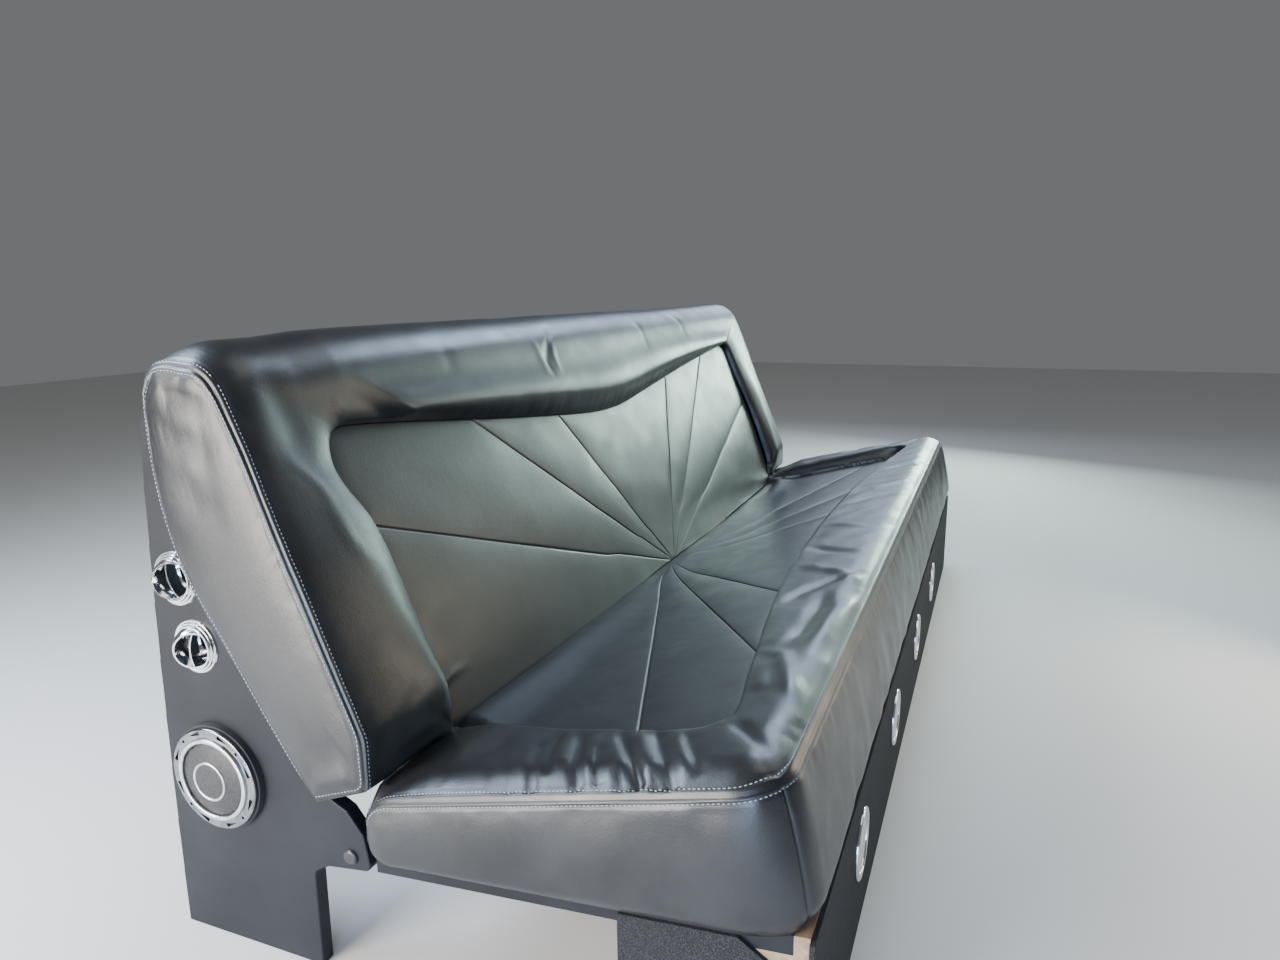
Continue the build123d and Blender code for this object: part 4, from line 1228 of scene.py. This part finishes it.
plywood = Finish("bare_plywood", (0.52, 0.38, 0.24), 0.66)
grain = plywood.noise(9, 6, 0.62, 1.2, plywood.stretch((0.25, 6, 6)))
board = plywood.colour(grain, (0.20, 0.135, 0.078), (0.38, 0.275, 0.175))
board.color_ramp.elements.new(0.5).color = (0.29, 0.20, 0.12, 1)
plywood.gloss(plywood.noise(30, 4), 0.58, 0.8)
plywood.bump(grain, 0.25, 0.0008)
plywood.bump(plywood.noise(300, 4, place=plywood.stretch((0.15, 4, 4))), 0.2, 0.0003)

paint = Finish("black_steel_paint", (0.022, 0.022, 0.024), 0.45)
paint.colour(paint.noise(12, 6, 0.7), (0.017, 0.017, 0.019), (0.035, 0.033, 0.032), 0.4, 0.8)
paint.gloss(paint.noise(25, 4), 0.36, 0.6)
paint.bump(paint.noise(240, 4, 0.6), 0.3, 0.0004)
print("tones in the carpet:", len(pile.color_ramp.elements))

# %% [markdown]
# Chrome has almost no colour of its own. What makes it look used is a faint
# haze and fine wipe marks in its roughness, not in its colour. The speaker's
# inner ring is the same metal left matte, and its mesh is grey wire. All small
# parts are made alike: a mottled colour, uneven gloss where the part is
# polished, and relief too fine to see as a shape.

# %% Chrome, silver and the small parts


def small_part(name, base, roughness, metallic, mottle, dark, light, relief=None, haze=None):
    """A finish of a small part; mottle, relief and haze start with a noise's settings."""
    finish = Finish(name, base, roughness, metallic)
    finish.colour(finish.noise(*mottle), dark, light)
    if haze:
        finish.gloss(finish.noise(*haze[:3]), *haze[3:])
    if relief:
        finish.bump(finish.noise(*relief[:3]), *relief[3:])
    return finish


chrome = small_part(
    "wiped_chrome", (0.82, 0.83, 0.85), 0.08, 1.0, (90, 3), (0.74, 0.75, 0.77), (0.86, 0.87, 0.89),
    relief=(700, 3, 0.5, 0.05, 0.00006), haze=(60, 5, 0.7, 0.05, 0.16),
)
dark_chrome = small_part(
    "dark_chrome", (0.3, 0.31, 0.33), 0.16, 1.0, (70, 4), (0.20, 0.205, 0.215), (0.36, 0.365, 0.38),
    haze=(60, 5, 0.7, 0.12, 0.24),
)
silver = small_part(
    "satin_silver", (0.62, 0.62, 0.63), 0.32, 1.0, (40, 4), (0.54, 0.54, 0.55), (0.68, 0.68, 0.69),
    relief=(900, 3, 0.5, 0.12, 0.0001), haze=(80, 4, 0.5, 0.26, 0.4),
)
wire = small_part(
    "grey_wire", (0.06, 0.06, 0.063), 0.5, 0.4, (200, 3), (0.04, 0.04, 0.042), (0.08, 0.08, 0.083),
    relief=(900, 2, 0.5, 0.2, 0.0001),
)
rubber = small_part(
    "matte_rubber", (0.014, 0.014, 0.014), 0.75, 0, (30, 5), (0.009,) * 3, (0.022,) * 3,
    relief=(500, 4, 0.6, 0.35, 0.0004),
)
cone = small_part(
    "black_cone", (0.02, 0.02, 0.02), 0.6, 0, (80, 4), (0.012,) * 3, (0.03,) * 3,
    relief=(350, 4, 0.5, 0.3, 0.0004),
)
magnet = small_part(
    "dull_magnet", (0.05, 0.05, 0.052), 0.55, 0.4, (60, 5), (0.035, 0.035, 0.037),
    (0.075, 0.072, 0.07), relief=(400, 4, 0.5, 0.3, 0.0004),
)
cap = small_part(
    "satin_cap", (0.02, 0.02, 0.021), 0.35, 0, (120, 4), (0.015, 0.015, 0.016), (0.03, 0.03, 0.031),
    relief=(600, 3, 0.5, 0.2, 0.0002),
)
opal = small_part(
    "opal_lens", (0.75, 0.75, 0.72), 0.3, 0, (35, 4), (0.66, 0.65, 0.61), (0.78, 0.78, 0.75)
)
opal.bump(opal.cells(260), 0.25, 0.0004)
# The painted-shade discs in the vents take the black rubber finish.
rubber.put_on(*vent_shade_discs)
silver.put_on(inner_ring)
wire.put_on(grille)
print("materials made:", len(bpy.data.materials))

# %% [markdown]
# Every piece of the hard model names the finish that it wants. The finishes go
# onto the pieces' own slots, and their meshes stay as they are. Only the
# speaker's frame gets a darker chrome than the rest.

# %% Finishes onto the hard pieces
by_slot = {
    "leather": leather, "vinyl": vinyl, "carpet": carpet, "plywood": plywood, "steel": paint,
    "chrome": chrome, "silver": silver, "mesh": wire, "rubber": rubber, "cone": cone,
    "magnet": magnet, "opal": opal, "cap": cap,
}
dressed = {}
for part in frame["record"]["subparts"]:
    node, slot = part["node"], part["material_slot"]
    finish = dark_chrome if node == "speaker_frame" else by_slot[slot]
    for piece in [o for o in bpy.data.objects if o.type == "MESH" and o.name == node]:
        for place in piece.material_slots:
            place.material = finish.material
        if not piece.material_slots:
            piece.data.materials.append(finish.material)
        dressed[slot] = dressed.get(slot, 0) + 1
print("hard pieces by finish:", dressed)

# %% [markdown]
# The boxes of the hard bench and of the dressed one are measured, so that they
# can be compared.

# %% The sizes of both benches
size = {"cad": cad_box, "visual": [list(corner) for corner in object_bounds()]}
print("visual box:", size["visual"])
